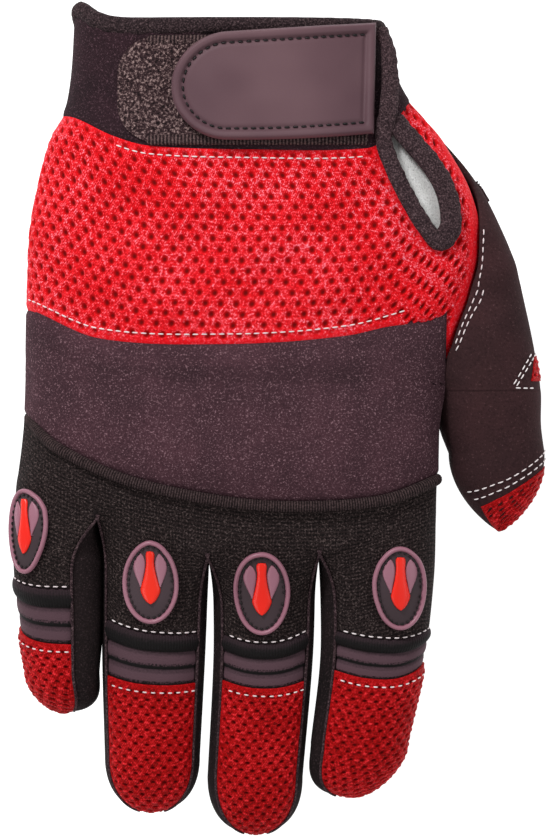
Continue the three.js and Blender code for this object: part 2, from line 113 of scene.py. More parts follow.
table_mesh = bpy.data.meshes.new("table")
corners = [(-1, -1), (1, -1), (1, 1), (-1, 1)]
table_mesh.from_pydata(
    [(x * TABLE_HALF * MM, y * TABLE_HALF * MM, TABLE_LEVEL * MM) for x, y in corners],
    [], [(0, 1, 2, 3)])
table = bpy.data.objects.new("table", table_mesh)
bpy.context.scene.collection.objects.link(table)
table_paint = bpy.data.materials.new("table_paint")
table_paint.use_nodes = True
paint = table_paint.node_tree.nodes["Principled BSDF"]
paint.inputs["Base Color"].default_value = (TABLE_GREY, TABLE_GREY, TABLE_GREY, 1)
paint.inputs["Roughness"].default_value = 0.9
paint.inputs["Emission Color"].default_value = (1, 1, 1, 1)
paint.inputs["Emission Strength"].default_value = TABLE_GLOW
table_mesh.materials.append(table_paint)

# %% [markdown]
# ## The hand inside the glove
#
# A glove has the shape of the hand that fills it, so the hand comes first. It could be
# sculpted, but then every seam would have to be found on it again. Here it is a formula
# instead: one cross-section that changes from the wrist to the knuckles, and a tube for each
# finger and the thumb. Any point of the skin then has an address, an angle round the limb and
# a place along it, and a seam is simply a line of addresses. Angle 0 faces the thumb side, 90
# the back of the hand, 180 the little-finger side and 270 the palm.

# %% Smooth stations
HALVINGS = 28


def along(stations, place, column=1):
    """Smooth value at each place along stations of (place, value, ...)."""
    stations = np.asarray(stations, float)
    stations = stations[np.argsort(stations[:, 0], kind="stable")]
    at, value = stations[:, 0], stations[:, column]
    slope = np.gradient(value, at)
    slope[1:-1] = (value[2:] - value[:-2]) / (at[2:] - at[:-2])
    place = np.clip(place, at[0], at[-1])
    i = np.clip(np.searchsorted(at, place) - 1, 0, len(at) - 2)
    width = at[i + 1] - at[i]
    t = (place - at[i]) / width
    p, q = value[i], value[i + 1]
    u, v = slope[i] * width, slope[i + 1] * width
    return p + t * (u + t * (3 * (q - p) - 2 * u - v + t * (2 * (p - q) + u + v)))


def smooth(value, start, end):
    """0 before start, 1 after end, with a soft turn at both."""
    t = np.clip((value - start) / (end - start), 0, 1)
    return t * t * (3 - 2 * t)


def mix(a, b, share):
    return a + (b - a) * share


def signed_power(value, power):
    return np.sign(value) * np.abs(value) ** power


def unit(directions):
    return directions / np.maximum(np.linalg.norm(directions, axis=-1, keepdims=True), 1e-9)


def run_along(points):
    """How far along a line of points each of them is."""
    return np.pad(np.linalg.norm(np.diff(points, axis=0), axis=1).cumsum(), (1, 0))


def angle_where(skin_of, x, y, low=0.0, high=180.0):
    """The angle at which a skin has this x at this y, found by halving between two angles."""
    x, y = np.broadcast_arrays(np.asarray(x, float), np.asarray(y, float))
    low, high = np.full(x.shape, low), np.full(x.shape, high)
    for _ in range(HALVINGS):
        middle = (low + high) / 2
        far = skin_of(middle, y)[..., 0] > x
        low, high = np.where(far, middle, low), np.where(far, high, middle)
    return (low + high) / 2


# %% Cross-section of the hand
HAND_LEFT = [(118, -56.6), (90, -59), (76, -65), (60, -68.5), (36, -70.8), (0, -71.6), (-30, -75.3)]
HAND_RIGHT = [(118, 28.2), (104, 30.7), (97, 33.1), (90, 36.7), (84.5, 41.5), (77, 47.7), (64, 54.7),
              (52, 57.5), (36, 55), (18, 49.3), (0, 44.8), (-14, 44.4), (-30, 46.2)]
HAND_TOP = [(118, 32), (92, 32.5), (60, 35.5), (10, 37.5), (-14, 37), (-30, 33)]
HAND_LEAN = [(118, 2), (70, 6), (-30, 9)]
HAND_WAIST = 15.0
TOP_SQUARENESS = 2.35
PALM_SQUARENESS = 3.4
PALM_FLAT = 1.2
KNUCKLE_ARCH = 2.4  # how far the palm lifts off the table under the knuckles


def hand_point(angle, y):
    """Points of the hand's skin, in millimetres."""
    angle, y = np.broadcast_arrays(np.asarray(angle, float), np.asarray(y, float))
    left, right = along(HAND_LEFT, y), along(HAND_RIGHT, y)
    c, s = np.cos(np.radians(angle)), np.sin(np.radians(angle))
    above = s >= 0
    power = np.where(above, 2 / TOP_SQUARENESS, 2 / PALM_SQUARENESS)
    rise = np.abs(s) ** power
    lean = np.where(above, along(HAND_LEAN, y) * rise, 0)
    x = (left + right) / 2 + (right - left) / 2 * signed_power(c, power) + lean
    top = mix(HAND_WAIST, along(HAND_TOP, y), rise)
    arch = KNUCKLE_ARCH * smooth(-y, -6, 26)
    palm = np.maximum(0, HAND_WAIST - (HAND_WAIST + PALM_FLAT) * rise)
    palm = mix(palm, np.maximum(palm, arch), smooth(rise, 0, 0.7))
    return np.stack([x, y, np.where(above, top, palm)], -1)


def angle_at(x, y):
    """The angle at which the back of the hand has this x."""
    return angle_where(hand_point, x, y)


def palm_angle_at(x, y):
    return angle_where(hand_point, x, y, 360.0, 180.0)


def on_back(x, y):
    return hand_point(angle_at(x, y), y)


# %% Fingers
FINGERS = {  # seams: the tube's angles at the seams of the back, on the thumb side and the little side
    "little": dict(line=[(-27, -61.7, 12.7), (-42, -61.7, 12.9), (-60, -61.1, 11.8), (-72, -60.6, 10.3)],
                   roll=-38, fold=(-46.5, -62), tip=(-58.6, -83.4), badge=-32.0, slim=0.93,
                   edges=(None, -50.2), crotch=(-16, -27.5), seams=(38, 158)),
    "ring": dict(line=[(-27, -34.2, 14.9), (-45, -34.4, 14.7), (-68, -34.9, 14.3), (-96, -35.3, 13.2)],
                 roll=-9, fold=(-58.5, -74), tip=(-35.3, -111.8), badge=-46.0, slim=1.0,
                 edges=(-50.2, -19.4), crotch=(-27.5, -38.4), seams=(24, 145)),
    "middle": dict(line=[(-27, -3.5, 14.6), (-45, -3.5, 14.2), (-68, -3.8, 13.8), (-102, -6.1, 13.2)],
                   roll=3, fold=(-61, -76), tip=(-6.1, -118.1), badge=-49.2, slim=1.0,
                   edges=(-19.4, 12.0), crotch=(-38.4, -37.6), seams=(34, 146)),
    "index": dict(line=[(-27, 29.1, 16.1), (-45, 28.7, 16), (-68, 27.4, 14.7), (-92, 23.4, 13.4)],
                  roll=15, fold=(-60, -75), tip=(19.8, -107.4), badge=-47.8, slim=1.0,
                  edges=(12.0, None), crotch=(-37.6, -16), seams=(22, 150)),
}
FINGER_MIDDLE = [(-27, 17.2), (-45, 15.6), (-68, 12.8), (-90, 10.8), (-118, 9.3)]
FINGER_HALF = [(-27, 14.4), (-45, 13.2), (-68, 11.6), (-90, 10.4), (-118, 9)]
FINGER_SQUARENESS = 2.3
TIP_BLUNTNESS = 2.25  # 2 would end the fingers in an ellipse
SEAM_SLIDE = 21  # below its crotch a finger's seams reach their own angles over this length
SIDE_FAR = 196.0  # angles at which the back's cloth meets the palm's
SIDE_LOW = -22.0
BACK_EDGE = 22.0  # the same on a finger: back to fourchette
PALM_EDGE = -28.0  # and fourchette to palm


def finger_tube(finger, angle, y):
    """Points of a finger's own tube. The angle is measured before the finger's roll."""
    last, end = finger["line"][-1][0], finger["tip"][1]
    to_tip = np.clip((last - y) / (last - end), 0, 1)
    share = np.maximum(1 - to_tip ** TIP_BLUNTNESS, 0) ** (1 / TIP_BLUNTNESS)
    half = along(finger["line"], y, 2) * share
    thick = along(FINGER_HALF, y) * finger["slim"] * share
    x0 = mix(along(finger["line"], y), finger["tip"][0], smooth(-y, -last, -end))
    z0 = along(FINGER_MIDDLE, y) * mix(1, finger["slim"], 0.6) - 0.4
    slid = np.interp(angle, (PALM_EDGE, BACK_EDGE, 180 - BACK_EDGE, 180 - PALM_EDGE, 360 + PALM_EDGE),
                     (PALM_EDGE, *finger["seams"], 180 - PALM_EDGE, 360 + PALM_EDGE))
    crotch = mix(finger["crotch"][1], finger["crotch"][0], smooth(angle, 60, 120))
    below = np.clip((crotch - y) / SEAM_SLIDE, 0, 1)
    angle = mix(angle, slid, np.sqrt(below * (2 - below)))
    turn = np.radians(angle - finger["roll"])
    power = 2 / FINGER_SQUARENESS
    x = half * signed_power(np.cos(turn), power)
    z = np.maximum(thick * signed_power(np.sin(turn), power), 0.02 - z0)
    return np.stack([x0 + x, y, z0 + z], -1)


EDGE_Y = np.linspace(25, -125, 301)
EDGE_ANGLES = {x: (angle_at(x, EDGE_Y), palm_angle_at(x, EDGE_Y)) for x in (-50.2, -19.4, 12.0)}


def finger_skin(finger, angle, y):
    """A finger's skin, which grows out of the hand between its two crotches."""
    angle, y = np.broadcast_arrays(np.asarray(angle, float), np.asarray(y, float))
    left, right = finger["edges"]
    top_from, top_to = (BACK_EDGE if right is not None else PALM_EDGE), \
        (180 - BACK_EDGE if left is not None else 180 - PALM_EDGE)
    back_right = np.interp(-y, -EDGE_Y, EDGE_ANGLES[right][0]) if right is not None else SIDE_LOW - 4
    back_left = np.interp(-y, -EDGE_Y, EDGE_ANGLES[left][0]) if left is not None else SIDE_FAR + 3
    palm_right = np.interp(-y, -EDGE_Y, EDGE_ANGLES[right][1]) if right is not None else 356 + SIDE_LOW
    palm_left = np.interp(-y, -EDGE_Y, EDGE_ANGLES[left][1]) if left is not None else SIDE_FAR + 3
    on_back = mix(back_right, back_left, np.clip((angle - top_from) / (top_to - top_from), 0, 1))
    palm_share = np.clip((angle - 180 + PALM_EDGE) / (180 + 2 * PALM_EDGE), 0, 1)
    on_palm = mix(palm_left, palm_right, palm_share)
    skin = np.where((angle > 180 - PALM_EDGE)[..., None], hand_point(on_palm, y), hand_point(on_back, y))
    if right is not None:
        share = np.clip((BACK_EDGE - angle) / (BACK_EDGE - PALM_EDGE), 0, 1)[..., None]
        wall = mix(hand_point(back_right, y), hand_point(palm_right, y), share)
        skin = np.where((angle < BACK_EDGE)[..., None], wall, skin)
    if left is not None:
        share = np.clip((angle - 180 + BACK_EDGE) / (BACK_EDGE - PALM_EDGE), 0, 1)[..., None]
        wall = mix(hand_point(back_left, y), hand_point(palm_left, y), share)
        side = (angle > 180 - BACK_EDGE) & (angle <= 180 - PALM_EDGE)
        skin = np.where(side[..., None], wall, skin)
    turn = np.radians(angle)
    to_left = np.clip(((1 - np.cos(turn)) / 2 - 0.07) / 0.86, 0, 1)
    centre = np.clip(1 - np.abs(np.cos(turn)) / math.cos(math.radians(BACK_EDGE + 4)), 0, 1)
    start = mix(finger["crotch"][1], finger["crotch"][0], to_left) + 13 * centre
    t = np.clip((start - y) / (15 + 13 * centre), 0, 1)
    grown = mix(1 - (1 - t) ** 2.2, t * t * (3 - 2 * t), centre)[..., None]
    return mix(skin, finger_tube(finger, angle, y), grown)


# %% Thumb
THUMB = [  # y, right edge, half width, height of its middle, half thickness
    (90, 35, 8, 13, 11), (77, 48.0, 10, 13.2, 12), (66, 57, 11.5, 13.4, 12.6),
    (52, 64.2, 12.8, 13.5, 13), (43, 67.6, 13.2, 13.5, 13.2), (32, 70.2, 13.5, 13.6, 13.3),
    (20, 72.7, 13.6, 13.6, 13.3), (8, 74.6, 14, 13.4, 13.2), (-2, 74.7, 14.1, 13, 12.8),
    (-10, 75.7, 13.2, 12.6, 12.2)]
THUMB_TIP = (63.2, -31.4)
THUMB_POINT = 0.8  # above 0.5, the tip is more pointed than an ellipse
# y, x of the seam between the thumb and the back of the hand
THUMB_SEAM = [(90, 42), (80, 48), (76, 49.8), (68, 54.6), (62, 56.6), (56, 57.3), (48.6, 57.2),
              (40.4, 56.4), (34.5, 54.6), (27.8, 52.1), (21, 49.9), (15.9, 47.9), (-6, 46)]


def thumb_tube(angle, y):
    last, end = THUMB[-1][0], THUMB_TIP[1]
    to_tip = np.clip((last - y) / (last - end), 0, 1)
    share = np.maximum(1 - to_tip ** 2, 0) ** THUMB_POINT
    half = along(THUMB, y, 2)
    x0 = mix(along(THUMB, y) - half, THUMB_TIP[0], smooth(-y, -last, -end))
    power = 2 / FINGER_SQUARENESS
    turn = np.radians(angle)
    x = half * share * signed_power(np.cos(turn), power)
    z = along(THUMB, y, 4) * share * signed_power(np.sin(turn), power)
    return np.stack([x0 + x, y, along(THUMB, y, 3) + z], -1)


THUMB_Y = np.linspace(95, -31, 253)
SEAM_LAP = 0.9  # the thumb's edge is lapped over the back of the glove


def thumb_seam_angle(y):
    """The thumb's own angle at its seam with the back."""
    return np.interp(-y, -THUMB_Y, SEAM_ANGLES)


SEAM_ANGLES = angle_where(thumb_tube, along(THUMB_SEAM, THUMB_Y), THUMB_Y, 1.0, 179.0)
SEAM_RISE = (on_back(along(THUMB_SEAM, THUMB_Y), THUMB_Y)[:, 2]
             - thumb_tube(SEAM_ANGLES, THUMB_Y)[:, 2])
EVEN = 25  # this many stations are averaged, so that the seam rises and falls slowly
SEAM_RISE = np.convolve(np.pad(SEAM_RISE, EVEN // 2, mode="edge"), np.full(EVEN, 1 / EVEN), mode="valid")


def thumb_skin(angle, y):
    """The thumb's skin. Above its crotch it rises to meet the back of the hand at the seam."""
    angle, y = np.broadcast_arrays(np.asarray(angle, float), np.asarray(y, float))
    p = thumb_tube(angle, y)
    past = p[..., 0] - along(THUMB_SEAM, y)
    rise = np.interp(-y, -THUMB_Y, SEAM_RISE) + SEAM_LAP
    joined = smooth(y, -7, 6) * smooth(p[..., 2], 9, 14)
    lift = np.where(past >= 0, rise * np.exp(-np.maximum(past, 0) / 7), rise + 0.5 * past)
    p[..., 2] += joined * lift
    return p


print("thumb at its crotch, mm:", np.round(thumb_skin(90, -6), 1))

# %% [markdown]
# ## Cloth as a closed piece
#
# A cut panel has two faces and a raw edge all round. A Solidify modifier could give it the
# thickness, but a panel that is built closed from the start can also sink along its edges, where
# the seam pulls it down, and swell in the middle, where the foam behind it pushes. A panel is a
# grid of skin points. Its lengths across and down are kept as a UV map in millimetres, so that
# every weave later has its true size.

# %% Closed cloth
def outward_of(skin):
    """Unit directions out of a grid of points whose columns run with the angle and rows run down."""
    return unit(np.cross(np.gradient(skin, axis=1), np.gradient(skin, axis=0)))


def measure(skin):
    """Length across from the middle column, and length down from the first row, in millimetres."""
    across = np.linalg.norm(np.diff(skin, axis=1), axis=-1).cumsum(axis=1)
    across = np.pad(across, ((0, 0), (1, 0)))
    across = across - across[:, [skin.shape[1] // 2]]
    down = np.linalg.norm(np.diff(skin, axis=0), axis=-1).cumsum(axis=0)
    return across, np.pad(down, ((1, 0), (0, 0)))


def to_border(skin):
    """Distance of each grid point from the nearest border of its panel."""
    u, v = measure(skin)
    return np.minimum.reduce([u - u[:, :1], u[:, -1:] - u, v - v[:1], v[-1:] - v])


def raised(skin, height):
    return skin + outward_of(skin) * np.broadcast_to(height, skin.shape[:2])[..., None]


def rolled(skin, roll, reach=1.6):
    """The panel sinks by roll at its seams."""
    return raised(skin, -roll * (1 - smooth(to_border(skin), 0, reach)))


def mesh_piece(name, points, faces, finish, lengths=None, hem=None):
    """A Blender mesh from points in millimetres. lengths are the two cloth lengths of each point."""
    mesh = bpy.data.meshes.new(name)
    mesh.from_pydata((np.asarray(points) * MM).tolist(), [], faces)
    if lengths is not None:
        layer = mesh.uv_layers.new(name="cloth")
        corner = np.empty(len(mesh.loops), np.int32)
        mesh.loops.foreach_get("vertex_index", corner)
        layer.data.foreach_set("uv", np.asarray(lengths, np.float32)[corner].ravel())
    if hem is not None:
        mesh.attributes.new("hem", "FLOAT", "POINT").data.foreach_set("value", hem.astype(np.float32))
    mesh.shade_smooth()
    mesh.materials.append(finish)
    piece = bpy.data.objects.new(name, mesh)
    bpy.context.scene.collection.objects.link(piece)
    return piece


def grid_faces(rows, cols, keep=None):
    number = np.arange(rows * cols).reshape(rows, cols)
    quads = np.stack([number[:-1, :-1], number[:-1, 1:], number[1:, 1:], number[1:, :-1]], -1)
    return quads[keep] if keep is not None else quads.reshape(-1, 4)


def cloth(name, skin, thick, finish, keep=None, lengths=None, hem=None):
    """A closed panel under a grid of outer points. keep chooses the grid's cells that have cloth.
    hem is 1 where the cloth is pressed flat by a seam, and 0 where it is free."""
    rows, cols = skin.shape[:2]
    u, v = measure(skin) if lengths is None else lengths
    top = grid_faces(rows, cols, keep)
    count = rows * cols
    start, end = top, np.roll(top, -1, axis=1)
    forward, backward = (start * count + end).ravel(), (end * count + start).ravel()
    rim = ~np.isin(forward, backward)
    a, b = start.ravel()[rim], end.ravel()[rim]
    sides = np.stack([b, a, a + count, b + count], -1)
    faces = np.concatenate([top, top[:, ::-1] + count, sides])
    points = np.concatenate([skin.reshape(-1, 3), raised(skin, -thick).reshape(-1, 3)])
    used = np.unique(faces)
    renumber = np.zeros(len(points), int)
    renumber[used] = np.arange(len(used))
    length = np.tile(np.stack([u.ravel(), v.ravel()], -1), (2, 1))
    pressed = None if hem is None else np.tile(hem.ravel(), 2)[used]
    return mesh_piece(name, points[used], renumber[faces].tolist(), finish, length[used], pressed)


def cord_along(name, path, outward, half_wide, half_high, finish, sides=14, closed=False):
    """A flat or round band along a path: half_wide lies in the skin and half_high stands out of it."""
    path, outward = np.asarray(path, float), np.asarray(outward, float)
    forward = np.roll(path, -1, 0) - np.roll(path, 1, 0) if closed else np.gradient(path, axis=0)
    forward = unit(forward)
    beside = unit(np.cross(forward, outward))
    up = np.cross(beside, forward)
    turn = np.arange(sides) / sides * 2 * math.pi
    wide = np.broadcast_to(half_wide, len(path))[:, None, None]
    high = np.broadcast_to(half_high, len(path))[:, None, None]
    ring = (path[:, None] + wide * np.cos(turn)[None, :, None] * beside[:, None]
            + high * np.sin(turn)[None, :, None] * up[:, None])
    rings = len(path)
    number = np.arange(rings * sides).reshape(rings, sides)
    after = np.roll(number, -1, axis=0) if closed else number[1:]
    first = number if closed else number[:-1]
    faces = np.stack([first, after, np.roll(after, -1, 1), np.roll(first, -1, 1)], -1).reshape(-1, 4)
    faces = faces.tolist()
    if not closed:
        faces += [number[0].tolist(), number[-1][::-1].tolist()]
    around = np.abs(np.linspace(-1, 1, sides, endpoint=False)) * np.max(half_wide) * 2
    length = np.stack(np.broadcast_arrays(around[None, :], run_along(path)[:, None]), -1)
    return mesh_piece(name, ring.reshape(-1, 3), faces, finish, length.reshape(-1, 2))


# %% [markdown]
# ## How each piece moves
#
# The glove bends at the knuckles, in the middle of each finger, at the root of the thumb and in
# the middle of the thumb. Each of these places is listed as a fold between two bodies. A piece that
# moves with one body is attached to it; a piece given a fold is only baked in place.

# %% Bodies
KNUCKLES = ("hand", "fingers", (0, 0, 0), (0, -27, 0))
THUMB_ROOT = ("hand", "thumb", (44, 40, 24), (54, 10, 8))
THUMB_MIDDLE = ("thumb", "thumb_tip", (0, 8, 0), (0, -10, 0))


def finger_fold(name):
    start, end = FINGERS[name]["fold"]
    return ("fingers", name + "_tip", (0, start, 0), (0, end, 0))


def sew(piece, slot, moves, *nodes):
    """Hides the CAD nodes that the piece dresses and attaches it to the body that moves names. When moves is
    a fold, the piece is only baked in place. slot, the piece's finish, is not used.
    """
    if nodes:
        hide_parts(*nodes)
    if isinstance(moves, str):
        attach(piece, moves)
    else:
        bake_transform(piece)
    return piece


# %% [markdown]
# ## Finishes
#
# Every material is a small tree of nodes. It reads the cloth lengths in millimetres, so a knit
# row or a hole has its real size on every panel. The helper below keeps the trees short: it holds
# one material and gives sums, noise, colour ramps and bumps as plain calls.

# %% Material helper
BLACK, WHITE = (0, 0, 0, 1), (1, 1, 1, 1)


def srgb(red, green, blue):
    """A colour given as 0 to 255 on a screen, as the linear colour that the shader wants."""
    linear = [c / 255 / 12.92 if c <= 10 else ((c / 255 + 0.055) / 1.055) ** 2.4
              for c in (red, green, blue)]
    return (*linear, 1)


class Finish:
    def __init__(self, name, roughness=0.8, sheen=0.0, specular=0.5, sheen_tint=WHITE):
        self.material = bpy.data.materials.new(name)
        self.material.use_nodes = True
        self.nodes = self.material.node_tree.nodes
        self.links = self.material.node_tree.links
        self.shader = self.nodes["Principled BSDF"]
        self.set("Roughness", roughness)
        self.set("Specular IOR Level", specular)
        self.set("Sheen Weight", sheen)
        self.set("Sheen Roughness", 0.4)
        self.set("Sheen Tint", sheen_tint)

    def set(self, socket, value):
        """A number goes on the socket itself, and a node's output is linked to it."""
        if isinstance(value, bpy.types.NodeSocket):
            self.links.new(value, self.shader.inputs[socket])
        else:
            self.shader.inputs[socket].default_value = value

    def node(self, kind, inputs=(), **settings):
        made = self.nodes.new("ShaderNode" + kind)
        for key, value in settings.items():
            setattr(made, key, value)
        for key, value in dict(inputs).items():
            if isinstance(value, bpy.types.NodeSocket):
                self.links.new(value, made.inputs[key])
            else:
                made.inputs[key].default_value = value
        return made

    def lengths(self):
        """The cloth lengths across and down, in millimetres."""
        apart = self.node("SeparateXYZ", {0: self.node("UVMap", uv_map="cloth").outputs[0]})
        return apart.outputs[0], apart.outputs[1]

    def sum(self, operation, *values, clamp=False):
        return self.node("Math", dict(enumerate(values)), operation=operation,
                         use_clamp=clamp).outputs[0]

    def wave(self, length, period):
        """1 at each multiple of the period, -1 halfway between."""
        return self.sum("COSINE", self.sum("MULTIPLY", length, 2 * math.pi / period))

    def noise(self, per_mm, detail=2.0, roughness=0.5):
        """Noise in the space of the piece itself, with this many features in a millimetre."""
        place = self.node("TexCoord").outputs["Object"]
        made = self.node("TexNoise", {"Vector": place, "Scale": per_mm / MM, "Detail": detail,
                                      "Roughness": roughness})
        return made.outputs["Fac"]

    def ramp(self, share, *stops):
        """Colours at given shares of 0 to 1."""
        made = self.node("ValToRGB", {"Fac": share})
        elements = made.color_ramp.elements
        while len(elements) < len(stops):
            elements.new(1)
        for element, (place, colour) in zip(elements, stops):
            element.position = place
            element.color = colour
        return made.outputs["Color"]

    def dots(self, share, start, end):
        """White where the share is past the end, black before the start."""
        return self.ramp(share, (start, BLACK), (end, WHITE))

    def mixed(self, share, a, b):
        return self.node("Mix", {0: share, 6: a, 7: b}, data_type="RGBA").outputs[2]

    def bump(self, height, millimetres, strength=1.0):
        made = self.node("Bump", {"Height": height, "Distance": millimetres * MM,
                                  "Strength": strength})
        self.set("Normal", made.outputs["Normal"])


# %% [markdown]
# ### Red air mesh
#
# Sports gloves have a spacer mesh on the back: two knitted faces with a lattice of holes, staggered
# from row to row. The holes are real dents in the panel's grid, and the colour uses the same
# lattice: each hole is painted dark as the shade in its dent, and the dark red between the yarns is painted
# shade. Thread glitter is fine noise that changes colour and the bump; its pale pink is a painted highlight.

# %% Air mesh lattice
BACK_NET = dict(across=4.35, down=3.05, hole=(1.1, 1.2))
TIP_NET = dict(across=3.3, down=2.15, hole=(0.85, 0.5), float=(1.25, 0.5))
HOLES = ((0.0, 0.0), (0.5, 0.5))  # shares of the two periods at which the spots lie
FLOATS = ((0.5, 0.0), (0.0, 0.5))


def lattice_share(u, v, net, half, shifts):
    """1 in the middle of each spot of a staggered lattice, and 0 away from the spots."""
    nearest = np.full(np.shape(u), 9.0)
    for shift_u, shift_v in shifts:
        across = ((u / net["across"] + shift_u + 0.5) % 1 - 0.5) * net["across"] / half[0]
        down = ((v / net["down"] / 2 + shift_v + 0.5) % 1 - 0.5) * net["down"] * 2 / half[1]
        nearest = np.minimum(nearest, np.hypot(across, down))
    return 1 - smooth(nearest, 0.45, 1.3)


def lattice_away(f, u, v, net, half, shifts):
    """The same lattice for a finish: the distance from the nearest spot, 1 at its edge."""
    nearest = None
    for shift_u, shift_v in shifts:
        parts = []
        for length, period, size, shift in ((u, net["across"], half[0], shift_u),
                                            (v, net["down"] * 2, half[1], shift_v)):
            share = f.sum("FRACT", f.sum("MULTIPLY_ADD", length, 1 / period, shift + 0.5 + 64))
            parts.append(f.sum("MULTIPLY", f.sum("SUBTRACT", share, 0.5), period / size))
        away = f.sum("SQRT", f.sum("ADD", *[f.sum("MULTIPLY", p, p) for p in parts]))
        nearest = away if nearest is None else f.sum("MINIMUM", nearest, away)
    return nearest


def net_finish(name, net, shade_between_yarns, thread, painted_glint, rim, hole, floats=0.0):
    """Knitted net: dark red painted as shade between the yarns, pale glitter painted as a highlight on the
    thread, saturated rims and holes painted dark as shade in their dents.
    """
    f = Finish(name, roughness=0.6, sheen=0.05, specular=0.1, sheen_tint=(1, 0.1, 0.15, 1))
    u, v = f.lengths()
    away = lattice_away(f, u, v, net, net["hole"], HOLES)
    yarn = f.sum("MULTIPLY", f.wave(f.sum("ADD", u, f.sum("MULTIPLY", v, 0.5)), 0.62),
                 f.wave(v, 0.55))
    # Fine noise that shapes the bump and lifts the thread towards the pale painted glint.
    glitter = f.noise(1.5, detail=3, roughness=0.75)
    height = f.sum("MULTIPLY_ADD", yarn, 0.07, glitter)
    # Broad slow patches where the painted glint is stronger.
    slow = f.dots(f.noise(0.05, detail=1), 0.35, 0.65)
    height = f.sum("MULTIPLY_ADD", slow, 0.05, height)
    # Raised yarn floats also take more of the painted glint.
    if floats:
        float_away = lattice_away(f, u, v, net, net["float"], FLOATS)
        height = f.sum("MULTIPLY_ADD", f.ramp(float_away, (0.3, WHITE), (1.1, BLACK)), floats, height)
    # Low yarn height is painted dark red as shade between the yarns, and high yarn height is painted as a
    # pale glint.
    body = f.ramp(height, (0.38, shade_between_yarns), (0.5, thread), (0.57, thread), (0.72, painted_glint))
    free = f.sum("SUBTRACT", 1.0, f.node("Attribute", attribute_name="hem").outputs["Fac"])
    pressed = f.sum("MULTIPLY", f.node("Attribute", attribute_name="hem").outputs["Fac"], 0.6)
    body = f.mixed(pressed, body, thread)
    body = f.mixed(f.sum("MULTIPLY", f.ramp(away, (0.8, WHITE), (1.5, BLACK)), free), body, rim)
    # The middle of each hole gets the dark hole colour: painted shade in its dent.
    hole_shade = f.ramp(away, (0.3, WHITE), (0.95, BLACK))
    f.set("Base Color", f.mixed(f.sum("MULTIPLY", hole_shade, free), body, hole))
    f.bump(height, 0.5, 0.9)
    return f.material


# Colours in order: painted shade between yarns, thread, painted glint, rim, painted shade in the holes.
BACK_RED = net_finish("red_air_mesh", BACK_NET, srgb(184, 0, 4), srgb(240, 14, 28), srgb(255, 160, 180),
                      srgb(218, 2, 8), srgb(118, 2, 3))
TIP_RED = net_finish("red_tip_mesh", TIP_NET, srgb(96, 0, 0), srgb(170, 0, 2), srgb(255, 52, 60),
                     srgb(146, 0, 1), srgb(88, 0, 0), floats=0.1)

# %% [markdown]
# ### Dark cloths
#
# The rest of the glove is nearly black, but no two cloths are the same black. The cuff is a smooth
# plum jersey, the padded panel a matt plum neoprene cloth, the fingers a purl knit with fine rows,
# the thumb and palm a brushed suede. Tiny pale specks are painted highlights, the sheen of single fibres,
# and painted shade darkens the hollows of the grain.

# %% Jersey, neoprene and suede
def speckled(name, base, dark, speck, share=0.56, sheen=0.1, grain=1.9, rib=0.5, relief=0.3):
    """A fine dark cloth: slow changes of tone, a fine rib, painted shade in the hollows of the grain and
    pale specks painted as the sheen of single fibres.
    """
    f = Finish(name, roughness=0.9, sheen=sheen, specular=0.15, sheen_tint=base)
    u, v = f.lengths()
    slow = f.noise(0.06, detail=3)
    fine = f.noise(grain, detail=3, roughness=0.75)
    body = f.ramp(slow, (0.35, dark), (0.65, base))
    # Where the fine noise, and so the bump, is lowest, the colour is painted darker as shade in the pits.
    pit_shade_mask = f.ramp(fine, (0.36, WHITE), (0.46, BLACK))
    pit_shade = (*[channel * 0.4 for channel in dark[:3]], 1)
    body = f.mixed(f.sum("MULTIPLY", pit_shade_mask, 0.55), body, pit_shade)
    # Pale specks are painted as the sheen of single fibres.
    f.set("Base Color", f.mixed(f.dots(fine, share, share + 0.12), body, speck))
    weave = f.sum("MULTIPLY", f.wave(u, rib), f.wave(v, rib * 0.8))
    f.bump(f.sum("MULTIPLY_ADD", weave, 0.12, fine), relief, 0.9)
    return f.material


# Colours: the cloth's own tone, a darker mottle, and pale specks painted as fibre sheen.
PLUM = speckled("plum_padded_cloth", srgb(78, 50, 58), srgb(64, 41, 48), srgb(150, 116, 124))
JERSEY = speckled("plum_jersey", srgb(51, 31, 38), srgb(37, 23, 28), srgb(98, 72, 80), rib=0.6)
SUEDE = speckled("black_suede", srgb(60, 37, 39), srgb(50, 31, 33), srgb(92, 64, 66), share=0.6,
                 grain=1.4, sheen=0.2, relief=0.2)
PALM_SUEDE = speckled("palm_suede", srgb(54, 38, 40), srgb(42, 29, 31), srgb(84, 64, 66),
                      share=0.6, grain=1.2, sheen=0.2, relief=0.25)
SIDE_CLOTH = speckled("fourchette_cloth", srgb(34, 25, 26), srgb(25, 19, 20), srgb(70, 56, 58))
LINING = speckled("pale_lining", srgb(246, 246, 244), srgb(232, 232, 230), srgb(255, 255, 255))


# %% [markdown]
# ### Pleated cloth
#
# Between the knit and the cap the cloth is sewn over elastic, which pulls it into a rounded welt
# and two pleats. The relief is in the mesh. The finish paints on the light of each fold: a painted
# highlight on the crown, painted shade nearly black in the valley and at the foot of the welt, and fine ribs
# run round the welt.

